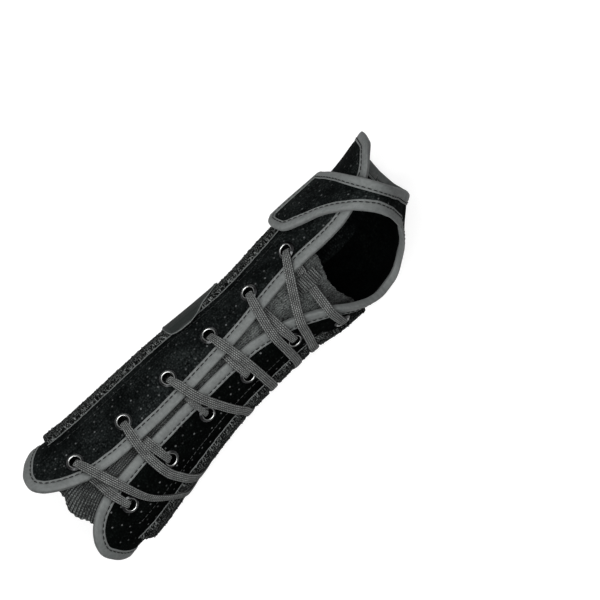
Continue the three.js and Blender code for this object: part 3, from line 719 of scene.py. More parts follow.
@dataclass(frozen=True)
class Velour:
    """Black velour with pale pin perforations on its outer face, and broad lighter patches of painted sheen."""

    name: str
    dark: Colour
    light: Colour
    dust: Colour
    pin: Colour
    sheen: float
    pin_spacing: float = 5.4
    pin_size: float = 0.7
    pin_slant: float = 38.0
    pin_depth: float = 1.5
    # The size of the painted sheen patches.
    patch: float = 24.0

    def make(self, effects: Effects) -> Material:
        """Makes the material.

        Args:
            effects: The shared effects.

        Returns:
            The material.
        """
        constants = {
            "Specular IOR Level": 0.01,
            "Sheen Weight": self.sheen,
            "Sheen Roughness": 0.32,
            "Sheen Tint": (0.85, 0.92, 0.95),
        }
        made = Surface(self.name, constants)
        tree = made.tree
        nap = made.use(effects.mottle, Size=1.2, Dark=self.dark, Light=self.light)
        # Broad random patches where the nap shows lighter: painted sheen.
        painted_sheen = tree.spread(tree.noise(made.cut, 1.0 / self.patch, 2.0), 0.18, 0.74)
        slanted = {"Vector": made.cut, "Angle": math.radians(self.pin_slant)}
        turned = tree.add("ShaderNodeVectorRotate", slanted, rotation_type="Z_AXIS").outputs[0]
        pattern = {"Spacing": self.pin_spacing, "Size": self.pin_size, "Evenness": 0.45, "Missing": 0.3}
        pins = made.use(effects.lint, **{"Vector": turned, **pattern})["Mask"]
        fluff = made.use(effects.lint, Spacing=1.3, Size=0.62, Evenness=0.0, Missing=0.25)["Mask"]
        across = tree.add("ShaderNodeSeparateXYZ", {0: made.cut}).outputs["Y"]
        outside = tree.math("LESS_THAN", across, float(LINING[1]) / 2)
        nap_with_painted_sheen = tree.blend(painted_sheen, self.dark, nap["Colour"])
        dusty = tree.blend(tree.math("MULTIPLY", fluff, painted_sheen), nap_with_painted_sheen, self.dust)
        colour = tree.blend(tree.math("MULTIPLY", pins, outside), dusty, self.pin)
        rough = tree.scaled(nap["Height"], -0.15, 0.98)
        height = tree.math("SUBTRACT", nap["Height"], tree.scaled(pins, self.pin_depth))
        return made.paint(colour, rough, height, depth=0.3)


@dataclass(frozen=True)
class TapeCloth:
    """Satin grey woven tape."""

    name: str = "Grey binding tape"
    dark: Colour = (0.082, 0.0875, 0.0864)
    light: Colour = (0.120, 0.128, 0.1257)
    rubbed: Colour = (0.16, 0.167, 0.165)
    column: float = 0.62
    stitch: float = 0.5

    def make(self, effects: Effects) -> Material:
        """Makes the material.

        Args:
            effects: The shared effects.

        Returns:
            The material.
        """
        made = Surface(self.name, {"Specular IOR Level": 0.22, "Sheen Weight": 0.06, "Sheen Roughness": 0.4})
        tree = made.tree
        tone = made.use(effects.mottle, Size=2.2, Dark=self.dark, Light=self.light)
        weave = made.use(effects.chain, Column=self.column, Stitch=self.stitch)
        wear = made.use(effects.wear, Size=1.5)
        shaded = tree.blend(tree.scaled(weave["Gap"], 0.22), tone["Colour"], self.dark)
        colour = tree.blend(tree.scaled(wear["Mask"], 0.5), shaded, self.rubbed)
        rough = tree.scaled(weave["Height"], -0.2, 0.78)
        return made.paint(colour, rough, weave["Height"], depth=0.06)


@dataclass(frozen=True)
class Braid:
    """Dark grey cord or webbing in columns of chain stitches, with painted shade between the stitches."""

    name: str = "Chain-braided lace"
    # The colour of the painted shade between the stitches.
    dark: Colour = (0.0035, 0.0037, 0.0037)
    low: Colour = (0.058, 0.0612, 0.0598)
    high: Colour = (0.220, 0.229, 0.2235)
    column: float = 1.04
    stitch: float = 1.3

    def make(self, effects: Effects) -> Material:
        """Makes the material.

        Args:
            effects: The shared effects.

        Returns:
            The material.
        """
        made = Surface(self.name, {"Specular IOR Level": 0.18, "Sheen Weight": 0.06, "Sheen Roughness": 0.5})
        tree = made.tree
        yarn = made.use(effects.mottle, Size=0.6, Dark=self.low, Light=self.high)
        knit = made.use(effects.chain, Column=self.column, Stitch=self.stitch)
        # Painted shade: the gaps between the stitches are darkened.
        colour = tree.blend(knit["Gap"], yarn["Colour"], self.dark)
        rough = tree.scaled(knit["Height"], -0.2, 0.95)
        return made.paint(colour, rough, knit["Height"], depth=0.3)


@dataclass(frozen=True)
class Knit:
    """Dark ribbed knit of the tongue, with painted shade between its ribs and towards the hand end."""

    name: str = "Ribbed knit"
    # The colour of the painted shade between the ribs and at the hand end.
    dark: Colour = (0.0025, 0.0026, 0.0027)
    low: Colour = (0.004, 0.0045, 0.0043)
    high: Colour = (0.132, 0.143, 0.139)
    lint: Colour = (0.13, 0.139, 0.135)
    column: float = 1.5
    stitch: float = 1.2
    ribbed_to: Span = (-75.0, -15.0)
    shaded: Span = (42.0, 55.0)

    def make(self, effects: Effects) -> Material:
        """Makes the material.

        Args:
            effects: The shared effects.

        Returns:
            The material.
        """
        made = Surface(self.name, {"Specular IOR Level": 0.1, "Sheen Weight": 0.08, "Sheen Roughness": 0.5})
        tree = made.tree
        yarn = made.use(effects.mottle, Size=1.15, Dark=self.low, Light=self.high)
        knit = made.use(effects.chain, Column=self.column, Stitch=self.stitch)
        fluff = made.use(effects.lint, Spacing=1.7, Size=0.4, Evenness=0.0, Missing=0.4)
        along = tree.add("ShaderNodeSeparateXYZ", {0: made.cut}).outputs["X"]
        # Painted shade in the gaps between the ribs, strongest at the elbow end.
        clear = tree.scaled(tree.spread(along, *self.ribbed_to), -0.55, 0.97)
        ribbed = tree.blend(tree.math("MULTIPLY", knit["Gap"], clear), yarn["Colour"], self.dark)
        fluffy = tree.blend(tree.scaled(fluff["Mask"], 0.6), ribbed, self.lint)
        colour = tree.blend(tree.scaled(tree.spread(along, *self.shaded), 0.42), fluffy, self.dark)
        rough = tree.scaled(yarn["Height"], -0.1, 0.98)
        return made.paint(colour, rough, knit["Height"], depth=0.3)


@dataclass(frozen=True)
class LoopPile:
    """Looped pile yarn with paler curls."""

    name: str
    dark: Colour
    light: Colour
    tip: Colour
    curl: float = 1.05

    def make(self, effects: Effects) -> Material:
        """Makes the material.

        Args:
            effects: The shared effects.

        Returns:
            The material.
        """
        made = Surface(self.name, {"Specular IOR Level": 0.02})
        tree = made.tree
        yarn = made.use(effects.mottle, Size=0.8, Dark=self.dark, Light=self.light)
        tips = made.use(effects.curl, Size=self.curl)
        colour = tree.blend(tips["Mask"], yarn["Colour"], self.tip)
        rough = tree.scaled(yarn["Height"], -0.12, 1.0)
        height = tree.math("ADD", yarn["Height"], tips["Mask"])
        return made.paint(colour, rough, height, depth=0.5)


@dataclass(frozen=True)
class StrapWeb:
    """Smooth dark strap with a rubbed rim."""

    name: str = "Smooth strap"
    dark: Colour = (0.0120, 0.0146, 0.0139)
    light: Colour = (0.0154, 0.0186, 0.0178)
    rubbed: Colour = (0.10, 0.106, 0.104)

    def make(self, effects: Effects) -> Material:
        """Makes the material.

        Args:
            effects: The shared effects.

        Returns:
            The material.
        """
        made = Surface(self.name, {"Specular IOR Level": 0.1})
        tree = made.tree
        tone = made.use(effects.mottle, Size=2.6, Dark=self.dark, Light=self.light)
        weave = made.use(effects.chain, Column=0.7, Stitch=0.55)
        wear = made.use(effects.wear, Size=2.0)
        colour = tree.blend(wear["Mask"], tone["Colour"], self.rubbed)
        rough = tree.scaled(tone["Height"], 0.25, 0.55)
        return made.paint(colour, rough, weave["Height"], depth=0.04)


@dataclass(frozen=True)
class Thread:
    """Twisted sewing thread."""

    name: str
    dark: Colour
    light: Colour

    def make(self, effects: Effects) -> Material:
        """Makes the material.

        Args:
            effects: The shared effects.

        Returns:
            The material.
        """
        made = Surface(self.name, {"Specular IOR Level": 0.2})
        tone = made.use(effects.mottle, Size=0.7, Dark=self.dark, Light=self.light)
        ply = made.use(effects.chain, Column=0.5, Stitch=0.45)
        rough = made.tree.scaled(ply["Height"], -0.2, 0.85)
        return made.paint(tone["Colour"], rough, ply["Height"], depth=0.1)


@dataclass(frozen=True)
class PlatedMetal:
    """Black-nickel plated metal, with a highlight painted on the rolled rim. Its flat map's second number is the
    radius.
    """

    name: str = "Black nickel"
    dark: Colour = (0.032, 0.033, 0.034)
    light: Colour = (0.075, 0.077, 0.078)
    painted_highlight: Colour = (0.36, 0.365, 0.36)
    # Radii where the painted highlight band rises, is full, and falls.
    rim: tuple[float, float, float, float] = (2.97, 3.14, 3.37, 3.7)

    def make(self, effects: Effects) -> Material:
        """Makes the material.

        Args:
            effects: The shared effects.

        Returns:
            The material.
        """
        made = Surface(self.name, {"Metallic": 1.0})
        tree = made.tree
        tone = made.use(effects.mottle, Size=1.6, Dark=self.dark, Light=self.light)
        wear = made.use(effects.wear, Size=0.9)["Mask"]
        radius = tree.add("ShaderNodeSeparateXYZ", {0: made.cut}).outputs["Y"]
        # A band over the rolled rim is a painted highlight; rubbed edges add real wear to it.
        inner, start, end, outer = self.rim
        fall = tree.spread(radius, end, outer)
        crest = tree.math("SUBTRACT", tree.spread(radius, inner, start), fall, clamp=True)
        highlight_and_wear = tree.math("ADD", crest, tree.scaled(wear, 0.15), clamp=True)
        colour = tree.blend(highlight_and_wear, tone["Colour"], self.painted_highlight)
        rough = tree.scaled(tone["Height"], 0.22, 0.12)
        return made.paint(colour, rough, tone["Height"], depth=0.012)


Finish = Velour | TapeCloth | Braid | Knit | LoopPile | StrapWeb | Thread | PlatedMetal


@dataclass
class Workshop:
    """The shared effects and the finishes made so far."""

    effects: Effects
    made: dict[str, Material] = field(default_factory=dict)

    def fit(self, piece: Piece, slot: Slot, finish: Finish, stands_for: Sequence[str] = ()) -> Piece:
        """Dresses a piece and ties it to the frame.

        Args:
            piece: The piece.
            slot: The record's slot for its finish; not used.
            finish: The finish.
            stands_for: The frame's nodes that it replaces.

        Returns:
            The piece.
        """
        if finish.name not in self.made:
            self.made[finish.name] = finish.make(self.effects)
        piece.data.materials.append(self.made[finish.name])
        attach(piece, "root")
        if stands_for:
            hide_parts(*stands_for)
        log.info("%s: %d faces", piece.name, len(piece.data.polygons))
        return piece


@dataclass
class SubAssembly:
    """Pieces that are made and dressed together."""

    shop: Workshop


@dataclass(frozen=True)
class Stitching:
    """A run of lock stitches, each a short bowed length of thread. Its form is shares of length, radius and bow."""

    length: float = 2.3
    pitch: float = 3.3
    radius: float = 0.3
    bow: float = 0.3
    sides: int = 6
    flatness: float = 0.8
    form: Rows = ((0.0, 0.45, -0.5), (0.12, 0.85, 0.55), (0.5, 1.0, 1.0), (0.88, 0.85, 0.55), (1.0, 0.45, -0.5))

    def rings(self, points: Array, normals: Array) -> Array:
        """Lays the stitches along a line.

        Args:
            points: The line, in millimetres.
            normals: The way out of the cloth at each of its points.

        Returns:
            Points by stitch, by ring and by side.
        """
        along = lengths_along(points)
        starts = np.arange(self.pitch / 2, along[-1] - self.length, self.pitch)
        shares, shape, rise = np.array(self.form).T
        at = (starts[:, None] + shares * self.length).ravel()
        centre = sampled(along, points, at)
        out = unit(sampled(along, normals, at))
        ahead = unit(sampled(along, points, at + 0.1) - sampled(along, points, at - 0.1))
        side = unit(np.cross(ahead, out))
        centre = centre + out * np.tile(rise, len(starts))[:, None] * self.bow
        angle = np.arange(self.sides)[:, None] * 2 * math.pi / self.sides
        spoke = np.cos(angle) * side[:, None] + np.sin(angle) * out[:, None] * self.flatness
        made = centre[:, None] + spoke * np.tile(shape, len(starts))[:, None, None] * self.radius
        return made.reshape(len(starts), len(shares), self.sides, 3)

    def piece(self, name: str, points: Array, normals: Array) -> Piece:
        """Makes one piece of all the stitches along a line.

        Args:
            name: The piece's name.
            points: The line, in millimetres.
            normals: The way out of the cloth at each of its points.

        Returns:
            The piece.
        """
        spots, faces = join_tubes(self.rings(points, normals))
        return make_piece(name, spots, faces, spots[:, :2])


PAD_TURNS = (-117.0, -109.0, -87.0, -66.0)
PAD_BEND = 0.72


@dataclass(frozen=True)
class Row:
    """A row of the lacing: its two eyelets by x and y, its lace's x on the way, its lifts, and its widths
    on the way up to the palm eyelet and at the far side of the palm.
    """

    back: Span
    palm: Span
    slot: float
    rim: float
    mid: float
    over: float
    dive: float
    rise: float
    rest: float
    cross: float
    low: float = 5.2
    far: float = 5.2

    def on_pad(self) -> Array:
        """Gives the lace's way over the pad, from the pull strap to the pad's rim, as x and turn in radians."""
        x = (self.slot, self.slot, lerp(self.slot, self.rim, PAD_BEND), self.rim)
        return np.stack((x, np.radians(PAD_TURNS)), axis=1)


LACING: tuple[Row, ...] = (
    Row((-99.4, 17.0), (-94.5, -18.1), -56, -74, -85.4, -91.4, -98.3, -97.4, 4.2, 5.6, far=3.0),
    Row((-67.1, 14.1), (-63.7, -16.3), -46, -63.2, -69.2, -70.3, -66.0, -65.3, 5.0, 5.9),
    Row((-35.3, 13.6), (-33.7, -13.1), -15, -19.0, -25.3, -31.0, -35.4, -35.0, 4.2, 7.0, 3.1),
    Row((-4.9, 14.3), (-4.8, -13.9), -1, 0.4, -0.2, -1.3, -5.5, -5.4, 5.4, 7.0),
    Row((25.3, 15.4), (24.8, -17.9), 14, 18.3, 18.5, 18.9, 23.6, 24.0, 5.0, 5.9),
    Row((54.6, 17.2), (49.4, -28.4), 28, 29.4, 31.5, 33.7, 52.4, 47.9, 4.6, 5.6),
)

THUMB_ROOT = (105.0, -66.0)
FINGER_ROOT = (117.5, -66.0)
SEAM_TURN = math.pi

BACK_LACING = CutEdge(
    ((-100, 6.9), (-74, 3.0), (-47, 2.0), (-31, 2.2), (-6, 3.0), (28, 6.0), (54, 7.9), (94, 9.6)),
)
BACK_ELBOW = CutEdge(
    ((-100, 6.9), (-108, 10.3), (-116.2, 15.2), (-121.9, 20.2), (-124.3, 25), (-123.4, 29), (-119.4, 33.2)),
    ((-111.5, 90), (-109.5, 120), (-109, 180)),
)
BACK_HAND = CutEdge(
    ((94, 9.6), (103, 12.2), (110.3, 16.2), (117.5, 22.5), (123, 28.5)),
    ((124.3, 90), (121.5, 120), (117.2, 150), (116.4, 180)),
)
PALM_LACING = CutEdge(
    (
        (-100.7, -6.9), (-91, -5.5), (-74, -4.1), (-47, -3.1), (-23, -2.9), (3, -3.6), (20, -6.9), (37, -13.7),
        (51, -22.3), (59.5, -28.9),
    ),
    ((69.7, -87), (80, -98), (91, -97), (99, -85), THUMB_ROOT, FINGER_ROOT),
)
PALM_ELBOW = CutEdge(
    ((-100.7, -6.9), (-108.5, -9.9), (-114, -13.6), (-118, -17.6), (-121, -22.6), (-122, -26.7), (-120, -31.4)),
    ((-113, -90), (-110, -120), (-109, -180)),
)
PALM_HAND = CutEdge(
    (),
    (FINGER_ROOT, (118.6, -90), (118.2, -120), (117, -150), (116.4, -180)),
)


@dataclass
class Panel(SubAssembly):
    """One half of the sleeve: foam-backed velour, pressed thin along its taped edges and at its eyelets."""

    name: str
    node: str
    lacing: CutEdge
    elbow: CutEdge
    hand: CutEdge
    seam: float
    eyelets: tuple[Span, ...]
    rows: int = 100
    columns: int = 230
    pressed: float = 0.55
    press_span: Span = (1.0, 6.5)
    swell: float = 0.21
    swell_sizes: Span = (21.0, 7.0)
    swell_fine: float = 0.4
    swell_span: Span = (4.0, 14.0)
    pucker: float = 0.5
    pucker_span: Span = (4.0, 9.5)
    rests_below: float = -0.7
    hole: float = 3.5
    hole_sides: int = 24
    hole_span: Span = (-6.0, 9.0)
    seed: int = 11
    grid: Grid = field(init=False)

    def ends(self, edge: CutEdge) -> Array:
        """Places an end edge between the lacing and the seam.

        Args:
            edge: The edge.

        Returns:
            Rows of the share from lacing to seam, and x.
        """
        lacing, line = self.lacing.line(), edge.line()
        start = glide(lacing, line[:, 0])
        return np.stack(((line[:, 1] - start) / (self.seam - start), line[:, 0]), axis=1)

    def lay_grid(self) -> None:
        """Lays out the panel's grid of x and turn."""
        shares = np.linspace(0.0, 1.0, self.rows)[:, None]
        along = np.linspace(0.0, 1.0, self.columns)[None, :]
        start = glide(self.ends(self.elbow), shares)
        end = glide(self.ends(self.hand), shares)
        x = lerp(start, end, along)
        edge = glide(self.lacing.line(), x)
        self.grid = (x, lerp(edge, self.seam, shares))

    def face(self) -> Array:
        """Shapes the outer face.

        Returns:
            Its lift over the grid.
        """
        x, turn = self.grid
        around = np.abs(turn - turn[:1]) * SLEEVE.girth(x, turn, SLEEVE.cloth)
        inset = np.minimum(around, np.minimum(x - x[:, :1], x[:, -1:] - x))
        u, v = np.moveaxis(SLEEVE.cut(x, turn), -1, 0)
        ripple = Ripple(self.seed)
        broad, fine = (ripple.at(u, v, size) for size in self.swell_sizes)
        lift = SLEEVE.cloth + self.swell * (broad + self.swell_fine * fine) * ramp(inset, *self.swell_span)
        lift = lift - self.pressed * (1 - ramp(inset, *self.press_span))
        points = SLEEVE.place(x, turn, SLEEVE.cloth)
        for spot in self.eyelets:
            centre = SLEEVE.place(spot[0], SLEEVE.turn_at(*spot), SLEEVE.cloth)
            away = np.linalg.norm(points - centre, axis=-1)
            lift = lift - self.pucker * (1 - ramp(away, *self.pucker_span))
        return np.where(np.cos(turn) < self.rests_below, np.minimum(lift, SLEEVE.cloth), lift)

    def drill(self, piece: Piece) -> None:
        """Cuts the eyelets' holes through the cloth.

        Args:
            piece: The panel.
        """
        bores = []
        for spot in self.eyelets:
            centre, out, wheel = SLEEVE.wheel(spot, self.hole_sides)
            bores.append(np.stack([centre + self.hole * wheel + out * height for height in self.hole_span]))
        points, faces = join_tubes(bores)
        drill = make_piece(f"{self.name}_drill", points, faces, points[:, :2])
        cut = piece.modifiers.new("Eyelet holes", "BOOLEAN")
        cut.operation, cut.solver, cut.object = "DIFFERENCE", "EXACT", drill
        shown = piece.evaluated_get(bpy.context.evaluated_depsgraph_get())
        drilled = bpy.data.meshes.new_from_object(shown)
        piece.modifiers.clear()
        piece.data = drilled
        bpy.data.objects.remove(drill)

    def build(self, velour: Velour) -> Piece:
        """Builds and dresses the panel.

        Args:
            velour: The cloth's finish.

        Returns:
            The panel.
        """
        self.lay_grid()
        piece = wall_piece(self.name, self.grid, 0.0, self.face(), SLEEVE.cut(*self.grid))
        self.drill(piece)
        return self.shop.fit(piece, Slot.VELOUR, velour, [self.node])

    def declare(self, piece: Piece, tapes: Sequence[Piece]) -> None:
        """Args:
            piece: The panel.
            tapes: The pieces sewn to it.
        """
        flat = SLEEVE.cut(*self.grid)
        length, width = (float(np.ptp(flat[..., k])) * MM for k in (0, 1))
        middle = SLEEVE.place(*self.grid, SLEEVE.cloth / 2)
        declare_sheet(piece, (width, length), middle, Held.STRETCHED, with_pieces=tapes)

    def edge(self, which: Edge) -> Array:
        """Gives an end edge's x and turn, from lacing to seam."""
        return np.stack([values[:, which.value] for values in self.grid], axis=1)

    def top(self) -> Array:
        """Gives the lacing edge's x and turn, from elbow to hand."""
        return np.stack([values[0] for values in self.grid], axis=1)


@dataclass(frozen=True)
class Spot:
    """A point of the strap's side, placed round the sleeve by the y seen from above or else by its turn."""

    x: float
    lift: float
    y: float | None = None
    turn: float = 0.0

    def row(self, thick: float) -> tuple[float, float, float]:
        """Gives x, turn in radians and lift for a strap of this thickness."""
        seen = math.radians(self.turn) if self.y is None else SLEEVE.turn_at(self.x, self.y, self.lift + thick)
        return self.x, float(seen), self.lift


@dataclass
class ThumbStrap(SubAssembly):
    """The strap from the palm through the thumb web to the back: its thumb side and finger side by t along it."""

    route: tuple[tuple[float, Spot, Spot], ...] = (
        (0.00, Spot(105, 0, turn=-66), Spot(117.5, 0, turn=-66)),
        (0.12, Spot(104.9, 0, turn=-34), Spot(116.4, 0, turn=-44)),
        (0.28, Spot(99.6, 4.0, 2.4), Spot(112.4, 4.0, 6)),
        (0.38, Spot(94.6, 5.7, 8.4), Spot(108.7, 5.7, 12.5)),
        (0.60, Spot(81, 5.7, 18.4), Spot(102.3, 5.7, 23)),
        (0.72, Spot(69.5, 5.7, 23.2), Spot(98, 4.4, 29.5)),
        (0.85, Spot(60.6, 6.8, 28), Spot(95.5, 4.3, turn=72)),
        (0.94, Spot(58.6, 7.0, turn=70), Spot(94.6, 4.4, turn=80)),
        (1.00, Spot(61.5, 7.1, turn=82), Spot(93.5, 4.5, turn=86)),
    )
    thick: float = 2.4
    stations: int = 190
    across: int = 30
    pressed: float = 0.45
    press_span: Span = (1.0, 6.0)
    swell: float = 0.14
    swell_size: float = 9.0
    swell_span: Span = (3.0, 8.0)
    eased: float = 0.09
    eased_from: Span = (0.02, 0.16)
    eased_to: Span = (0.45, 0.65)
    seed: int = 23
    table: Array = field(init=False)

    def lay_route(self) -> None:
        """Lays out the table of the strap's sides."""
        sides = [(t, *a.row(self.thick), *b.row(self.thick)) for t, a, b in self.route]
        self.table = np.array(sides)

    def sheet(self, t: Array, across: Array) -> tuple[Array, Array, Array]:
        """Gives the strap's inner face, with its sides eased where they bend round the thumb.

        Args:
            t: Shares along the strap.
            across: Shares across it, from its thumb side to its finger side.

        Returns:
            x, turn and lift.
        """
        reach = self.eased * ramp(t, *self.eased_from) * (1 - ramp(t, *self.eased_to))
        near = [t + reach * share for share in (-1.0, -0.5, 0.0, 0.5, 1.0)]
        table = [sum(glide(self.table, at, k) for at in near) / len(near) for k in range(1, 7)]
        x, turn, lift = (lerp(a, b, across) for a, b in zip(table[:3], table[3:]))
        return x, turn, lift

    def build(self, velour: Velour) -> Piece:
        """Args:
            velour: The cloth's finish.

        Returns:
            The strap.
        """
        self.lay_route()
        t, across = np.linspace(0, 1, self.stations)[:, None], np.linspace(0, 1, self.across)[None, :]
        x, turn, lift = np.broadcast_arrays(*self.sheet(t, across))
        middle = SLEEVE.place(x, turn, lift + self.thick / 2)
        along = np.stack([lengths_along(middle[:, k]) for k in range(self.across)], axis=1)
        over = np.stack([lengths_along(middle[k]) for k in range(self.stations)], axis=0)
        inset = np.minimum(np.minimum(over, over[:, -1:] - over), along[-1:] - along)
        swell = self.swell * Ripple(self.seed).at(along, over, self.swell_size) * ramp(inset, *self.swell_span)
        face = lift + self.thick + swell - self.pressed * (1 - ramp(inset, *self.press_span))
        piece = wall_piece("thumb_strap_cloth", (x, turn), lift, face, np.stack((along, over), axis=-1))
        self.shop.fit(piece, Slot.VELOUR, velour, ["thumb_strap"])
        size = (float(over.max()) * MM, float(along.max()) * MM)
        declare_sheet(piece, size, middle, Held.LAID, rests_on=["back_panel_cloth"])
        return piece


@dataclass
class TapeRun:
    """A line of tape over a cut edge: x, turn, lift, cloth thickness, share of the full width and the way in."""

    x: Array
    turn: Array
    lift: Array
    thick: Array
    reach: Array
    inward: Array

    def spot(self, depth: Array, height: Array) -> Array:
        """Gives points at a depth in from the edge and a height above the cloth's inner face.

        Args:
            depth: Millimetres in from the edge, by ring and by point.
            height: Millimetres above the inner face, by ring and by point.

        Returns:
            Points by ring and by point of the section.
        """
        girth = SLEEVE.girth(self.x, self.turn, SLEEVE.cloth / 2)[:, None]
        x = self.x[:, None] + depth * self.inward[:, :1]
        turn = self.turn[:, None] + depth * self.inward[:, 1:] / girth
        return SLEEVE.place(x, turn, self.lift[:, None] + height)


@dataclass
class Binding(SubAssembly):
    """Grey tape folded over the cut edges and sewn down near its inner lip."""

    spacing: float = 1.1
    seam_depth: float = 3.6
    seam_lift: float = 0.1
    tape: float = 0.4
    fold: float = -1.2
    fold_inside: Span = (-0.85, 0.28)
    fold_pinch: float = 0.4
    under: float = 0.6
    lean: float = 0.72
    row_share: Span = (0.2, 0.9)
    wobble: float = 0.12
    wobble_size: float = 6.0
    wobble_from: float = 1.6
    profile: Rows = (
        (5.0, -0.42), (4.9, 0.10), (4.6, 0.38), (4.15, 0.36), (3.6, -0.08), (3.05, 0.34), (2.2, 0.58),
        (1.1, 0.68), (-0.1, 0.66), (-0.75, 0.40), (-1.05, -0.30),
    )
    seed: int = 5

    def run(self, spots: Array, side: float) -> TapeRun:
        """Lays tape along an edge, with the way in square to the edge.

        Args:
            spots: x, turn, lift, cloth thickness, share of the full width, and the way in by x and girth or zeros.
            side: 1 where the cloth lies to the left of the line, or -1.

        Returns:
            The run.
        """
        points = SLEEVE.place(spots[:, 0], spots[:, 1], spots[:, 2] + spots[:, 3] / 2)
        along = lengths_along(points)
        keep = np.concatenate(([True], np.diff(along) > 1e-6))
        at = np.linspace(0, along[-1], int(along[-1] / self.spacing))
        x, turn, lift, thick, reach, way_x, way_round = sampled(along[keep], spots[keep], at).T
        girth = SLEEVE.girth(x, turn, SLEEVE.cloth / 2)
        ahead = unit(smoothed(unit(np.stack((np.gradient(x), np.gradient(turn) * girth), axis=1))))
        square = side * np.stack((-ahead[:, 1], ahead[:, 0]), axis=1)
        given = np.stack((way_x, way_round), axis=1)
        size = np.linalg.norm(given, axis=1, keepdims=True)
        along_row = given / np.maximum(size, 1e-9)
        lean = np.clip((along_row * square).sum(axis=1, keepdims=True), self.lean, 1.0)
        inward = lerp(square, along_row / lean, ramp(size, *self.row_share))
        return TapeRun(x, turn, lift, thick, reach, inward)

    def section(self, thick: Array) -> Grid:
        """Gives the tape's closed section.

        Args:
            thick: The cloth's thickness at each ring.

        Returns:
            The depth and the height of each point of the section, by ring.
        """
        outer = np.array(self.profile)
        size = len(outer)
        depth = np.concatenate((outer[:, 0], [self.fold], outer[::-1, 0]))
        deepest, wall = self.fold_inside
        inner = np.maximum(depth, deepest) + np.where(depth < 0, wall, 0.0)
        top = thick[:, None] + outer[None, :, 1]
        bottom = -np.broadcast_to(outer[::-1, 1] * self.under, (len(thick), size))
        height = np.concatenate((top, thick[:, None] / 2, bottom), axis=1)
        drop = np.concatenate((np.full(size, -self.tape), [0.0], np.full(size, self.tape)))
        drop[size - 2 : size + 3] *= self.fold_pinch
        shape = np.concatenate((depth, inner[::-1]))
        heights = np.concatenate((height, (height + drop)[:, ::-1]), axis=1)
        return np.broadcast_to(shape, heights.shape), heights

    def build(
        self, name: str, node: str, run: TapeRun, tape: TapeCloth, thread: Thread
    ) -> list[Piece]:
        """Builds a length of tape with its stitches.

        Args:
            name: The tape's name.
            node: The frame's node that it replaces.
            run: The line that it follows.
            tape: The tape's finish.
            thread: The stitches' finish.

        Returns:
            The tape and its stitches.
        """
        depth, height = self.section(run.thick)
        depth = np.where(depth > 0, depth * run.reach[:, None], depth)
        middle = SLEEVE.place(run.x, run.turn, run.lift + run.thick)
        along = lengths_along(middle)
        sway = self.wobble * Ripple(self.seed).at(along, along * 0.0, self.wobble_size)[:, None]
        rings = run.spot(depth + sway * (depth > self.wobble_from), height)
        turned = np.cumsum(np.abs(np.diff(depth[0], prepend=depth[0, 0])))
        flat = np.stack(np.broadcast_arrays(along[:, None], turned[None, :]), axis=-1)
        piece = tube_piece(name, rings, flat)
        self.shop.fit(piece, Slot.BINDING, tape, [node])
        seam = run.spot(self.seam_depth * run.reach[:, None], run.thick[:, None] + self.seam_lift)[:, 0]
        sewing = Stitching().piece(f"{name}_stitches", seam, SLEEVE.outward(run.x, run.turn))
        return [piece, self.shop.fit(sewing, Slot.BINDING, thread)]


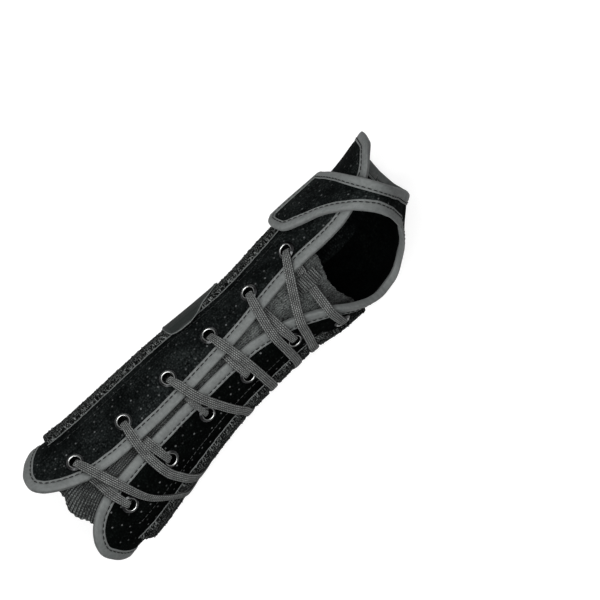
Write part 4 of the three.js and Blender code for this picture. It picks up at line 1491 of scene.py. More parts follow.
@dataclass
class Taping(SubAssembly):
    """Both lengths of binding: round the back panel, and round the palm panel and the thumb strap."""

    binding: Binding
    tape: TapeCloth
    thread: Thread
    strap_spots: int = 150
    strap_from: float = 0.004
    strap_reach: float = 0.74
    thumb_reach: float = 0.8
    thumb_span: Span = (40.0, 68.0)
    root_span: Span = (0.0, 0.1)
    square_span: Span = (0.87, 0.93)
    tip_spots: int = 40
    tip_span: Span = (0.02, 0.98)

    def flat_spots(self, line: Array, thick: float, hand_reach: float) -> Array:
        """Gives a panel's cut edge as tape spots.

        Args:
            line: The edge as rows of x and turn.
            thick: The cloth's thickness.
            hand_reach: The share of the full width that the tape narrows to at the hand.

        Returns:
            The spots.
        """
        zero = np.zeros(len(line))
        reach = lerp(1.0, hand_reach, ramp(line[:, 0], *self.thumb_span))
        return np.stack((line[:, 0], line[:, 1], zero, zero + thick, reach, zero, zero), axis=1)

    def strap_spots_along(self, strap: ThumbStrap, across: float) -> Array:
        """Gives a side of the strap as tape spots, with the way in along the strap's rows.

        Args:
            strap: The strap.
            across: 0 for its thumb side, 1 for its finger side.

        Returns:
            The spots, from root to tip.
        """
        t = np.linspace(self.strap_from, 1, self.strap_spots)
        x, turn, lift = strap.sheet(t, across)
        far_x, far_turn, _ = strap.sheet(t, 0.5)
        girth = SLEEVE.girth(x, turn, SLEEVE.cloth / 2)
        way = unit(np.stack((far_x - x, (far_turn - turn) * girth), axis=1))
        way = way * (1 - ramp(t, *self.square_span))[:, None]
        thick = np.full_like(x, strap.thick)
        reach = lerp(self.thumb_reach, self.strap_reach, ramp(t, *self.root_span))
        return np.stack((x, turn, lift, thick, reach, way[:, 0], way[:, 1]), axis=1)

    def strap_tip(self, strap: ThumbStrap) -> Array:
        """Gives the strap's end as tape spots.

        Args:
            strap: The strap.

        Returns:
            The spots, from its thumb side to its finger side.
        """
        across = np.linspace(*self.tip_span, self.tip_spots)
        x, turn, lift = np.broadcast_arrays(*strap.sheet(np.ones_like(across), across))
        zero = np.zeros_like(across)
        return np.stack((x, turn, lift, zero + strap.thick, zero + self.strap_reach, zero, zero), axis=1)

    def build(self, back: Panel, palm: Panel, strap: ThumbStrap) -> dict[str, list[Piece]]:
        """Builds both lengths.

        Args:
            back: The back panel.
            palm: The palm panel.
            strap: The thumb strap.

        Returns:
            The pieces of each length, by the panel's name.
        """
        cloth = SLEEVE.cloth
        back_line = np.concatenate((back.edge(Edge.ELBOW)[::-1], back.top()[1:], back.edge(Edge.HAND)[1:]))
        back_run = self.binding.run(self.flat_spots(back_line, cloth, 1.0), 1.0)
        top = palm.top()
        top = top[top[:, 0] < THUMB_ROOT[0]]
        spots = np.concatenate(
            (
                self.flat_spots(np.concatenate((palm.edge(Edge.ELBOW)[::-1], top[1:])), cloth, self.thumb_reach),
                self.strap_spots_along(strap, 0.0),
                self.strap_tip(strap),
                self.strap_spots_along(strap, 1.0)[::-1],
                self.flat_spots(palm.edge(Edge.HAND)[1:], cloth, self.thumb_reach),
            )
        )
        palm_run = self.binding.run(spots, -1.0)
        return {
            back.name: self.binding.build("back_tape", "back_binding", back_run, self.tape, self.thread),
            palm.name: self.binding.build("palm_tape", "palm_binding", palm_run, self.tape, self.thread),
        }


@dataclass
class Tongue(SubAssembly):
    """The ribbed knit under the lacing, with the keeper that the last lace runs through."""

    sunk: float = -4.2
    sewn: float = -1.7
    thick: float = 1.5
    rib: float = 1.5
    rib_height: float = 1.0
    bulge: float = 1.9
    bulge_span: Span = (4.0, 11.0)
    bulge_sides: Span = (0.12, 0.3)
    sewn_sides: Span = (0.015, 0.075)
    ribbed_to: Span = (-75.0, -15.0)
    nub: float = 0.9
    nub_shares: Span = (0.6, 0.2)
    uneven: Span = (0.25, 13.0)
    frayed: float = 1.6
    fray: Span = (0.5, 1.3)
    fray_drop: float = 0.7
    sides: Rows = ((-120, 46, -50), (-20, 46, -52), (28, 54, -70), (64, 66, -104))
    ends: Rows = (
        (-104, -113, 61), (-62, -114.2, 59.5), (-30, -114.8, 58), (-16, -115.8, 58.8), (-8, -117.9, 59.9),
        (1, -118.6, 62), (9, -117.7, 63.4), (17, -115.6, 63.6), (66, -114.8, 64),
    )
    span: Span = (-115.0, 60.0)
    fan_from: float = -94.0
    fan_ease: float = 6.0
    fan: Span = (0.31, 0.02)
    rows: int = 330
    columns: tuple[int, int] = (46, 84)
    fine_to: float = 0.16
    loop_x: float = 49.8
    loop_turn: float = -2.0
    loop_half_width: float = 3.5
    loop_half_length: float = 8.0
    loop_thick: float = 0.9
    loop_crown: float = 0.12
    loop_rim: float = 0.3
    loop_foot: float = -3.6
    loop_arch: float = -1.3
    loop_route: Rows = ((-8, 0), (-5.4, 0), (-3.4, 0.9), (0, 1), (3.4, 0.9), (5.4, 0), (8, 0))
    seed: int = 31

    def grid(self) -> tuple[Array, Array, Array]:
        """Lays out the tongue's grid.

        Returns:
            x, turn in radians, and the share from the back side to the palm side.
        """
        share = np.linspace(0, 1, self.rows)[:, None]
        fine, plain = self.columns
        along = np.append(np.linspace(0, self.fine_to, fine)[:-1], np.linspace(self.fine_to, 1, plain))[None, :]
        rough_x = lerp(*self.span, along)
        degrees = lerp(glide(self.sides, rough_x, 1), glide(self.sides, rough_x, 2), share)
        x = lerp(glide(self.ends, degrees, 1), glide(self.ends, degrees, 2), along)
        return x, np.radians(degrees), np.broadcast_to(share, x.shape)

    def build(self, knit: Knit) -> Piece:
        """Args:
            knit: The tongue's finish.

        Returns:
            The tongue.
        """
        x, turn, share = self.grid()
        flat = SLEEVE.cut(x, turn)
        width = float(np.ptp(flat[..., 1])) * MM
        beyond = np.maximum(self.fan_from - x, 0.0)
        lean, spread = self.fan
        flat[..., 1] += beyond**2 / (beyond + self.fan_ease) * (lean - spread * flat[..., 1])
        u, v = flat[..., 0], flat[..., 1]
        reach = np.minimum(share, 1 - share)
        face = lerp(self.sewn, self.sunk, ramp(reach, *self.sewn_sides))
        ripple = Ripple(self.seed)
        ribs = 0.5 - 0.5 * np.cos(2 * math.pi * v / self.rib)
        nub = 0.5 + 0.5 * ripple.at(u, v, self.nub)
        whole = ramp(np.minimum(x - x[:, :1], x[:, -1:] - x), 0.0, self.frayed)
        nubby, always = self.nub_shares
        ribs = lerp(ribs**0.7, nub, nubby * ramp(x, *self.ribbed_to))
        height, size = self.uneven
        relief = self.rib_height * ((1 - always) * ribs + always * nub) + height * ripple.at(u, v, size)
        apart = np.min([np.abs(x - lerp(row.dive, row.rise, 0.5)) for row in LACING], axis=0)
        bulge = self.bulge * ramp(apart, *self.bulge_span) * ramp(reach, *self.bulge_sides)
        outer = face + bulge - self.rib_height + relief - self.fray_drop * (1 - whole)
        inner = face + bulge - self.thick
        height, size = self.fray
        x = x + height * ripple.at(v, x, size) * (1 - whole)
        middle = SLEEVE.place(x, turn, face + bulge)
        piece = wall_piece("tongue_knit", (x, turn), inner, outer, flat)
        self.shop.fit(piece, Slot.KNIT, knit, ["tongue"])
        declare_sheet(piece, (width, float(np.ptp(x)) * MM), middle, Held.STRETCHED)
        return piece

    def build_keeper(self, braid: Braid) -> Piece:
        """Builds and dresses the keeper loop.

        Args:
            braid: The loop's finish.

        Returns:
            The loop.
        """
        along = np.linspace(-self.loop_half_length, self.loop_half_length, 60)[:, None]
        across = np.linspace(-1, 1, 18)[None, :]
        turn = math.radians(self.loop_turn)
        half = self.loop_half_width / float(SLEEVE.girth(self.loop_x, turn, self.loop_foot))
        share = glide(self.loop_route, along)
        lift = lerp(self.loop_foot, self.loop_arch, share) - self.loop_crown * across**2
        x, turns, lift = np.broadcast_arrays(self.loop_x + along, turn + half * across, lift)
        rim = self.loop_rim * ramp(np.abs(np.broadcast_to(across, x.shape)), 0.8, 1.0)
        flat = np.stack((across * self.loop_half_width + 0 * along, np.broadcast_to(along, x.shape)), axis=-1)
        piece = wall_piece("tongue_keeper", (x, turns), lift + rim, lift + self.loop_thick - rim, flat)
        return self.shop.fit(piece, Slot.LACE, braid, ["tongue_loop"])


@dataclass
class PilePad(SubAssembly):
    """The band of looped pile round the side, hollowed under the pull strap and hemmed along its edges."""

    elbow: Rows = ((0, -103.2), (0.8, -101.8), (0.89, -98.6), (0.95, -100.6), (1, -103.8))
    hand: float = 62.0
    taper: tuple[float, float, float] = (44.0, 60.0, 0.8)
    back_turn: float = 67.0
    palm_side: Rows = ((-101, 294), (36, 294), (45, 276), (56, 268), (62, 262))
    seat: float = 3.05
    rim: Span = (2.2, 0.7)
    size: Span = (130.0, 163.0)
    hollow_x: tuple[float, float, float, float] = (-33, -30, 25, 28)
    hollow_depth: float = 1.3
    dent: float = 1.25
    dent_reach: Span = (2.3, 4.6)
    lace_spots: int = 40
    lace_clear: float = 3.4
    hollow_turns: Rows = ((56, 1), (60, 0.9), (64, 0.3), (66, 0), (118, 0), (148, 1), (206, 1), (219, 0))
    rows: int = 190
    columns: int = 210
    nub: float = 1.2
    nub_height: float = 0.5
    nub_shares: Span = (0.65, 0.35)
    nub_fine: float = 0.55
    swell: float = 0.3
    swell_size: float = 11.0
    resting: Span = (0.55, 0.9)
    rest_press: float = 0.6
    tallest: Span = (0.6, -0.05)
    seat_radius: float = 33.0
    loops: int = 2600
    clump: float = 2.1
    clump_from: float = -0.12
    loop_across: Span = (0.01, 0.99)
    loop_along: Span = (0.008, 0.992)
    loop_sizes: Span = (0.65, 1.25)
    loop_size: float = 0.5
    loop_sunk: float = 0.25
    loop_press: float = 0.05
    loops_above: float = -0.8
    yarn: float = 0.17
    hem: float = 0.24
    hem_spots: int = 220
    hem_reach: float = 0.83
    hem_out: float = 0.006
    hem_lift: float = 0.55
    hem_uneven: Span = (0.12, 2.0)
    seed: int = 47

    def hollow(self, turn: Array) -> Array:
        """Gives the depth of the hollow that the pull strap lies in, by turn in radians."""
        return self.hollow_depth * glide(self.hollow_turns, np.degrees(turn))

    def press(self, x: Array, turn: Array) -> Array:
        """Gives how far the pull strap presses the pile in.

        Args:
            x: Places along the sleeve.
            turn: Turns round it, in radians.

        Returns:
            Depths in millimetres.
        """
        start, full, full_end, end = self.hollow_x
        return self.hollow(turn) * (ramp(x, start, full) * (1 - ramp(x, full_end, end)))

    def lace_reach(self, x: Array, turn: Array) -> Array:
        """Measures over the pile to the nearest lace.

        Args:
            x: Places along the sleeve.
            turn: Turns round it, in radians.

        Returns:
            Millimetres.
        """
        nearest = np.full(np.shape(x), np.inf)
        around = SLEEVE.girth(x, turn, SLEEVE.floor)
        for row in LACING:
            way = row.on_pad()
            legs = lengths_along(way * (1.0, self.seat_radius))
            for spot in sampled(legs, way, np.linspace(0, legs[-1], self.lace_spots)):
                off = turn - spot[1] - 2 * math.pi
                nearest = np.minimum(nearest, np.hypot(x - spot[0], off * around))
        return nearest

    def grid(self, shares: Array, along: Array) -> Grid:
        """Places points of the pad.

        Args:
            shares: Shares from the back side to the palm side.
            along: Shares from elbow to hand.

        Returns:
            x, and turn in radians.
        """
        x = lerp(glide(self.elbow, shares), self.hand, along)
        side = glide(self.palm_side, x)
        return np.broadcast_arrays(x, np.radians(lerp(self.back_turn, side, shares)))

    def face(self, x: Array, turn: Array, flat: Array) -> Array:
        """Shapes the pile's face.

        Args:
            x: Places along the sleeve.
            turn: Turns round it, in radians.
            flat: The same places on the flat cut.

        Returns:
            Its lift.
        """
        ripple = Ripple(self.seed)
        u, v = flat[..., 0], flat[..., 1]
        coarse, fine = self.nub_shares
        bumps = coarse * ripple.at(u, v, self.nub) + fine * ripple.at(v, u, self.nub * self.nub_fine)
        broad = 0.5 + 0.5 * ripple.at(u, v, self.swell_size)
        resting = ramp(-np.cos(turn), *self.resting)
        height = self.nub_height * bumps / 2 * (1 - self.rest_press * resting) + self.swell * broad
        start, end, drop = self.taper
        dent = self.dent * (1 - ramp(self.lace_reach(x, turn), *self.dent_reach))
        sunk = self.press(x, turn) + dent + drop * ramp(x, start, end)
        return SLEEVE.floor - sunk + np.minimum(height, lerp(*self.tallest, resting))

    def build(self, pile: LoopPile) -> Piece:
        """Args:
            pile: The pad's finish.

        Returns:
            The pad.
        """
        shares, along = np.linspace(0, 1, self.rows)[:, None], np.linspace(0, 1, self.columns)[None, :]
        x, turn = self.grid(shares, along)
        flat = SLEEVE.cut(x, turn)
        round_rim, rim_lift = self.rim
        girth, length = self.size
        inset = np.minimum(np.minimum(shares, 1 - shares) * girth, np.minimum(along, 1 - along) * length)
        face = lerp(self.seat + rim_lift, self.face(x, turn, flat), rounded(inset / round_rim))
        piece = wall_piece("pile_band", (x, turn), self.seat, face, flat)
        self.shop.fit(piece, Slot.PILE, pile, ["pile_pad"])
        return piece

    def build_loops(self, pile: LoopPile) -> Piece:
        """Builds the loose loops of yarn that stand out of the pile.

        Args:
            pile: The pad's finish.

        Returns:
            The loops, as one piece.
        """
        rng = np.random.default_rng(self.seed)
        spans = (self.loop_across, self.loop_along, (0, math.pi), self.loop_sizes)
        shares, along, lean, size = (rng.uniform(*span, self.loops) for span in spans)
        x, turn = self.grid(shares, along)
        bunched = Ripple(self.seed + 2).at(x, SLEEVE.cut(x, turn)[..., 1], self.clump) > self.clump_from
        clear = self.lace_reach(x, turn) > self.lace_clear
        free = bunched & clear & (np.cos(turn) > self.loops_above) & (self.press(x, turn) < self.loop_press)
        x, turn, lean, size = x[free], turn[free], lean[free], size[free] * self.loop_size
        face = self.face(x, turn, SLEEVE.cut(x, turn))
        foot, out = SLEEVE.place(x, turn, face - self.loop_sunk), SLEEVE.outward(x, turn)
        side = unit(np.cross(out, (1.0, 0.0, 0.0)))
        way = np.cos(lean)[:, None] * side + np.sin(lean)[:, None] * np.cross(out, side)
        arc = np.linspace(0.0, math.pi, 5)
        angle = np.arange(3) * 2 * math.pi / 3
        spoke = np.cos(arc)[:, None] * way[:, None] + np.sin(arc)[:, None] * out[:, None]
        flank = np.cross(way, out)[:, None, None]
        centre = foot[:, None] + spoke * size[:, None, None]
        rings = centre[:, :, None] + self.yarn * (
            np.cos(angle)[:, None] * spoke[:, :, None] + np.sin(angle)[:, None] * flank
        )
        points, faces = join_tubes(rings)
        piece = make_piece("pile_loops", points, faces, points[:, :2] + points[:, 2:], sharp=80.0)
        return self.shop.fit(piece, Slot.PILE, pile)

    def build_hems(self, palm_thread: Thread, back_thread: Thread) -> list[Piece]:
        """Builds the fine hems along the pad's edges.

        Args:
            palm_thread: The palm hem's finish.
            back_thread: The back hem's finish.

        Returns:
            The hems.
        """
        made, ripple, (height, size) = [], Ripple(self.seed + 1), self.hem_uneven
        ends = (("back", 0.0, 1.0, back_thread), ("palm", 1.0, self.hem_reach, palm_thread))
        for name, share, reach, thread in ends:
            along = np.linspace(0, reach, self.hem_spots)
            x, turn = self.grid(np.full_like(along, share), along)
            turn = turn + lerp(-self.hem_out, self.hem_out, share)
            out = SLEEVE.outward(x, turn)
            uneven = height * ripple.at(x, x * 0, size)
            line = SLEEVE.place(x, turn, self.seat + self.hem_lift) + out * uneven[:, None]
            piece = cord_piece(f"pile_hem_{name}", line, out, self.hem)
            made.append(self.shop.fit(piece, Slot.PILE, thread))
        return made


@dataclass
class PullStrap(SubAssembly):
    """The strap that gathers the laces, from its finger tab on the back round the base to the palm."""

    sides: Rows = (
        (56, -12.5, -6.5), (57.8, -16, -3.5), (61, -18.2, 0), (67, -19.1, 5.8), (73, -19.3, 10.6),
        (79, -19.4, 13.8), (86, -19.5, 16.6), (100, -19.5, 17.2), (206, -20, 17.2), (219, -30, 20),
        (242, -62, 33),
    )
    seat: float = 6.2
    thick: float = 1.0
    rim: Span = (0.9, 0.22)
    welt: tuple[float, float, float] = (0.22, 1.1, 0.5)
    edge: float = 0.3
    edge_turn: float = 92.0
    edge_spots: int = 150
    finer_tab: float = 0.35
    rows: int = 200
    columns: int = 64

    def build(self, web: StrapWeb, pad: PilePad) -> Piece:
        """Args:
            web: The strap's finish.
            pad: The pad that it presses into.

        Returns:
            The strap.
        """
        table = np.array(self.sides, float)
        share = np.linspace(0, 1, self.rows)[:, None]
        across = np.linspace(0, 1, self.columns)[None, :]
        slow = self.finer_tab * share**2 + (1 - self.finer_tab) * share
        degrees = lerp(table[0, 0], table[-1, 0], slow)
        x = lerp(glide(table, degrees, 1), glide(table, degrees, 2), across)
        x, turn = np.broadcast_arrays(x, np.radians(degrees))
        seat = self.seat - pad.hollow(turn)
        middle = SLEEVE.place(x, turn, seat + self.thick / 2)
        around = np.stack([lengths_along(middle[:, k]) for k in range(self.columns)], axis=1)
        inset = np.minimum(np.minimum(x - x[:, :1], x[:, -1:] - x), np.minimum(around, around[-1:] - around))
        round_rim, thinned = self.rim
        edge = thinned * (1 - rounded(inset / round_rim))
        height, middle_of, spread = self.welt
        welt = height * np.exp(-(((inset - middle_of) / spread) ** 2)) * (np.cos(turn) > -0.5)
        face = seat + self.thick - 2 * edge + welt
        piece = wall_piece("pull_strap_web", (x, turn), seat + edge, face, np.stack((x, around), axis=-1))
        self.shop.fit(piece, Slot.PULL_STRAP, web, ["pull_strap"])
        size = (float(np.ptp(x)) * MM, float(around.max()) * MM)
        declare_sheet(piece, size, middle, Held.LAID, rests_on=["pile_band"])
        return piece

    def build_edge(self, thread: Thread, pad: PilePad) -> Piece:
        """Builds the fine pale edge of the finger tab.

        Args:
            thread: The edge's finish.
            pad: The pad that the strap presses into.

        Returns:
            The edge.
        """
        table = np.array(self.sides, float)
        degrees = lerp(table[0, 0], self.edge_turn, np.linspace(0, 1, 60) ** 1.6)
        elbow_side = np.stack((glide(table, degrees, 1), degrees), axis=1)[::-1]
        hand_side = np.stack((glide(table, degrees, 2), degrees), axis=1)
        rim = np.concatenate((elbow_side, hand_side))
        legs = lengths_along(rim * (1.0, 0.6))
        x, degrees = sampled(legs, rim, np.linspace(0, legs[-1], self.edge_spots)).T
        turn = np.radians(degrees)
        line = SLEEVE.place(x, turn, self.seat - pad.hollow(turn) + self.thick / 2)
        piece = cord_piece("pull_strap_edge", line, SLEEVE.outward(x, turn), self.edge)
        return self.shop.fit(piece, Slot.PULL_STRAP, thread)


@dataclass
class Eyelets(SubAssembly):
    """Rolled metal eyelets with a washer under the cloth. The profile is radius and lift, from the bore round."""

    profile: Rows = (
        (2.95, -1.05), (3.03, -1.20), (3.70, -1.25), (4.55, -1.15), (4.70, -0.98), (4.55, -0.82),
        (3.70, -0.72), (3.45, -0.60), (3.42, 0.40), (3.42, 2.30), (3.55, 2.62), (4.30, 2.72), (4.72, 2.80),
        (4.86, 3.00), (4.80, 3.22), (4.45, 3.42), (4.20, 3.62), (3.98, 3.88), (3.72, 4.02), (3.45, 4.02),
        (3.17, 3.88), (2.99, 3.62), (2.93, 3.20), (2.95, 2.00), (2.95, 0.20),
    )
    segments: int = 56

    def build(self, metal: PlatedMetal) -> list[Piece]:
        """Builds and dresses every eyelet.

        Args:
            metal: The eyelets' finish.

        Returns:
            The eyelets, row by row from the elbow.
        """
        shape = np.array(self.profile)
        index = np.arange(self.segments * len(shape)).reshape(self.segments, len(shape))
        quads = quads_of(np.pad(index, ((0, 1), (0, 1)), mode="wrap"))
        around = np.linspace(0, 8 * math.pi, self.segments, endpoint=False)[:, None]
        flat = np.stack(np.broadcast_arrays(around, shape[None, :, 0]), axis=-1).reshape(-1, 2)
        made = []
        for number, row in enumerate(LACING, 1):
            for node, spot in ((f"back_eyelet_{number}", row.back), (f"palm_eyelet_{number}", row.palm)):
                centre, out, wheel = SLEEVE.wheel(spot, self.segments)
                rings = centre + wheel[:, None] * shape[None, :, :1] + out * shape[None, :, 1:]
                points = rings.reshape(-1, 3)
                piece = make_piece(f"{node}_ring", points, outfacing(points, quads).tolist(), flat)
                made.append(self.shop.fit(piece, Slot.EYELET, metal, [node]))
        return made


@dataclass(frozen=True)
class Stop:
    """A point of a lace's route."""

    x: float
    turn: float
    lift: float
    width: float


@dataclass
class Laces(SubAssembly):
    """Three flat braided laces, each serving two rows."""

    width: float = 5.2
    bunched: float = 4.1
    thick: float = 1.7
    under: float = -2.7
    in_bore: float = 1.5
    off_bore: float = 0.7
    in_rim: float = 4.6
    off_rim: float = 1.4
    at_rim: float = 5.4
    past_rim: float = 3.4
    below_bore: Span = (0.9, 0.7)
    at_edge: float = 5.4
    on_pad: float = 5.75
    low_shares: Span = (0.45, 0.22)
    before_eyelet: Span = (7.0, 6.4)
    before_edge: Span = (-2.4, 0.1)
    past_edge: float = 0.7
    on_edge: float = 3.0
    narrow: float = 2.5
    climb: float = 3.6
    steep: Rows = ((0.0, -1.1), (0.0, 1.8), (0.3, 4.1))
    taut: float = 14.5
    taut_clear: float = 1.5
    taut_shares: tuple[float, ...] = (0.0, 0.3, 0.6, 0.82)
    sides: int = 64
    spacing: float = 0.75
    squareness: float = 0.75
    columns: int = 5
    rib: float = 0.34
    pairs: tuple[tuple[str, int, int], ...] = (
        ("lace_elbow", 0, 1),
        ("lace_middle", 2, 3),
        ("lace_hand", 4, 5),
    )

    def beside(self, spot: tuple, towards: tuple, distance: float, lift: float, width: float = 0.0) -> Stop:
        """Gives a stop a little way from one spot towards another.

        Args:
            spot: x and turn to start from.
            towards: x and turn to go towards.
            distance: How far to go.
            lift: The stop's lift.
            width: The lace's width there, or 0 for its full width.

        Returns:
            The stop.
        """
        girth = float(SLEEVE.girth(spot[0], spot[1], SLEEVE.cloth))
        way = unit(np.array((towards[0] - spot[0], (towards[1] - spot[1]) * girth)))
        turn = spot[1] + way[1] * distance / girth
        return Stop(spot[0] + way[0] * distance, turn, lift, width or self.width)

    def over_strand(self, row: Row, back: tuple, palm_edge: tuple) -> list[Stop]:
        """Gives the strand from the pull strap over the palm panel to the back eyelet.

        Args:
            row: The row of the lacing.
            back: The back eyelet's x and turn.
            palm_edge: x and turn where the strand crosses the palm edge.

        Returns:
            The stops.
        """
        way = row.on_pad()
        rim = way[-1, 1]
        along, around = self.low_shares
        low = (lerp(row.rim, row.mid, along), lerp(rim, palm_edge[1], around))
        middle = (row.mid, lerp(rim, palm_edge[1], 0.5))
        return [
            *(Stop(*spot, self.on_pad, row.far) for spot in way),
            Stop(*low, (self.on_pad + row.rest) / 2, row.far),
            Stop(*middle, row.rest, lerp(row.far, self.width, 0.4)),
            Stop(*palm_edge, row.cross, self.width),
            self.beside(back, palm_edge, *self.before_eyelet),
            self.beside(back, palm_edge, self.past_rim, self.at_rim, self.bunched),
        ]

    def below(self, spot: tuple, towards: tuple) -> list[Stop]:
        """Leads a lace away under an eyelet.

        Args:
            spot: The eyelet's x and turn.
            towards: x and turn to go towards.

        Returns:
            The stops.
        """
        distance, rise = self.below_bore
        first = self.beside(spot, towards, distance, self.under + rise, self.bunched)
        return [first, self.beside(spot, towards, self.past_rim, self.under, self.bunched)]

    def climbing(self, gap: float) -> list[Span]:
        """Gives the lace's climb out of the lacing to the palm edge.

        Args:
            gap: The gap between the two edges.

        Returns:
            Distances from the palm edge, and lifts.
        """
        if gap < self.narrow * self.climb:
            clear = min(gap / 2, self.climb)
            return [(clear - less, lift) for less, lift in self.steep]
        run = min(gap - self.taut_clear, self.taut)
        return [(run * (1 - share), lerp(self.under, self.at_edge, share)) for share in self.taut_shares]

    def row_route(self, row: Row) -> tuple[tuple, list[Stop]]:
        """Gives a row's strand over to its back eyelet, and under the edge back to its palm eyelet.

        Args:
            row: The row of the lacing.

        Returns:
            The palm eyelet's x and turn, and the stops.
        """
        palm_line, back_line = PALM_LACING.line(), BACK_LACING.line()
        back = (row.back[0], float(SLEEVE.turn_at(*row.back)))
        palm = (row.palm[0], float(SLEEVE.turn_at(*row.palm)))
        palm_edge = (row.over, float(glide(palm_line, row.over)))
        dive = (row.dive, float(glide(back_line, row.dive)))
        rise = (row.rise, float(glide(palm_line, row.rise)))
        gap = float(np.linalg.norm(SLEEVE.place(*dive, 0.0) - SLEEVE.place(*rise, 0.0)))
        bunched = min(row.low, self.bunched)
        before, deeper = self.before_edge
        stops = [
            *self.over_strand(row, back, palm_edge),
            self.beside(back, palm_edge, self.off_rim, self.in_rim, self.bunched),
            self.beside(back, palm_edge, self.off_bore, self.in_bore, self.bunched),
            *self.below(back, dive),
            self.beside(dive, rise, before, self.under - deeper, row.low),
            self.beside(dive, rise, self.past_edge, self.under, row.low),
            *(self.beside(rise, dive, distance, lift, row.low) for distance, lift in self.climbing(gap)),
            self.beside(rise, dive, self.past_edge, self.at_edge, row.low),
            self.beside(rise, palm, self.on_edge, self.at_edge, row.low),
            self.beside(palm, rise, self.past_rim, self.at_rim, bunched),
            self.beside(palm, rise, self.off_rim, self.in_rim, bunched),
            self.beside(palm, rise, self.off_bore, self.in_bore, self.bunched),
        ]
        return palm, stops

    def route(self, first: int, second: int) -> list[Stop]:
        """Gives a lace's whole route.

        Args:
            first: The number of its first row.
            second: The number of its second row.

        Returns:
            The stops.
        """
        start, there = self.row_route(LACING[first])
        end, back_again = self.row_route(LACING[second])
        return there + self.below(start, end) + self.below(end, start)[::-1] + back_again[::-1]

    @staticmethod
    def smooth_line(points: Array, steps: int = 12) -> Grid:
        """Runs a centripetal curve through points.

        Args:
            points: The points.
            steps: Steps between each two of them.

        Returns:
            The curve's points, and how many of the given points along each of them is.
        """
        ends = (2 * points[0] - points[1], 2 * points[-1] - points[-2])
        p = np.concatenate((ends[:1], points, ends[1:]))
        gap = np.maximum(np.linalg.norm(np.diff(p, axis=0), axis=1) ** 0.5, 1e-4)[:, None]
        t = np.linspace(0, 1, steps, endpoint=False)[:, None]
        made = []
        for k in range(1, len(p) - 2):
            a, b, c = gap[k - 1], gap[k], gap[k + 1]
            leave = ((p[k] - p[k - 1]) / a - (p[k + 1] - p[k - 1]) / (a + b) + (p[k + 1] - p[k]) / b) * b
            arrive = ((p[k + 1] - p[k]) / b - (p[k + 2] - p[k]) / (b + c) + (p[k + 2] - p[k + 1]) / c) * b
            rise = t * t * (3 - 2 * t)
            bend = leave * t * (1 - t) ** 2 - arrive * t * t * (1 - t)
            made.append(p[k] * (1 - rise) + p[k + 1] * rise + bend)
        made.append(points[-1:])
        shares = np.concatenate((np.arange((len(points) - 1) * steps) / steps, [len(points) - 1.0]))
        return np.concatenate(made), shares

    @staticmethod
    def lie_flat(tangents: Array, normals: Array) -> Array:
        """Gives the way across a lace, along the sleeve wherever it doesn't run through an eyelet.

        Args:
            tangents: The way ahead at each point.
            normals: The way out of the sleeve at each point.

        Returns:
            The ways across.
        """
        sides = np.cross(tangents, normals)
        known = np.flatnonzero(np.linalg.norm(sides, axis=1) > 0.5)
        held = unit(sides[known])
        for k in range(1, len(held)):
            if held[k] @ held[k - 1] < 0:
                held[k] *= -1
        mixed = sampled(known.astype(float), held, np.arange(len(sides), dtype=float))
        mixed = mixed - tangents * (mixed * tangents).sum(axis=1, keepdims=True)
        return unit(mixed)

    def build(self, braid: Braid) -> list[Piece]:
        """Builds and dresses the laces.

        Args:
            braid: The laces' finish.

        Returns:
            The laces.
        """
        made = []
        for node, first, second in self.pairs:
            piece, length = self.build_one(node, self.route(first, second))
            made.append(self.shop.fit(piece, Slot.LACE, braid, [node]))
            log.info("%s: %.0f mm long", piece.name, length)
        return made

    def build_one(self, node: str, route: list[Stop]) -> tuple[Piece, float]:
        """Builds a lace with the relief of its braid.

        Args:
            node: The frame's node that it replaces.
            route: Its stops.

        Returns:
            The lace and its length in millimetres.
        """
        stops = np.array([(stop.x, stop.turn, stop.lift, stop.width) for stop in route])
        line, shares = self.smooth_line(SLEEVE.place(stops[:, 0], stops[:, 1], stops[:, 2]))
        along = lengths_along(line)
        at = np.linspace(0, along[-1], int(along[-1] / self.spacing))
        points = sampled(along, line, at)
        where = sampled(np.arange(len(stops), dtype=float), stops, np.interp(at, along, shares))
        tangents = unit(np.gradient(points, axis=0))
        sides = unit(smoothed(self.lie_flat(tangents, SLEEVE.outward(where[:, 0], where[:, 1]))))
        ups = unit(np.cross(sides, tangents))
        angle = np.linspace(0, 2 * math.pi, self.sides, endpoint=False)
        across, high = (np.sign(way) * np.abs(way) ** self.squareness for way in (np.cos(angle), np.sin(angle)))
        column = (across + 1) / 2 * self.columns
        groove = np.abs(2 * (column - np.floor(column)) - 1) ** 3
        relief = -self.rib * groove * np.abs(high) ** 0.3
        half = where[:, 3:4] / 2
        squeeze = np.sqrt(self.width / np.maximum(where[:, 3:4], 1e-6))
        height = high[None, :] * self.thick / 2 * squeeze + np.sign(high)[None, :] * relief
        rings = points[:, None] + sides[:, None] * (across * half)[..., None] + ups[:, None] * height[..., None]
        flat = np.stack(np.broadcast_arrays(at[:, None], (across + 1)[None, :] * self.width / 2), axis=-1)
        return tube_piece(f"{node}_braid", rings, flat), float(along[-1])


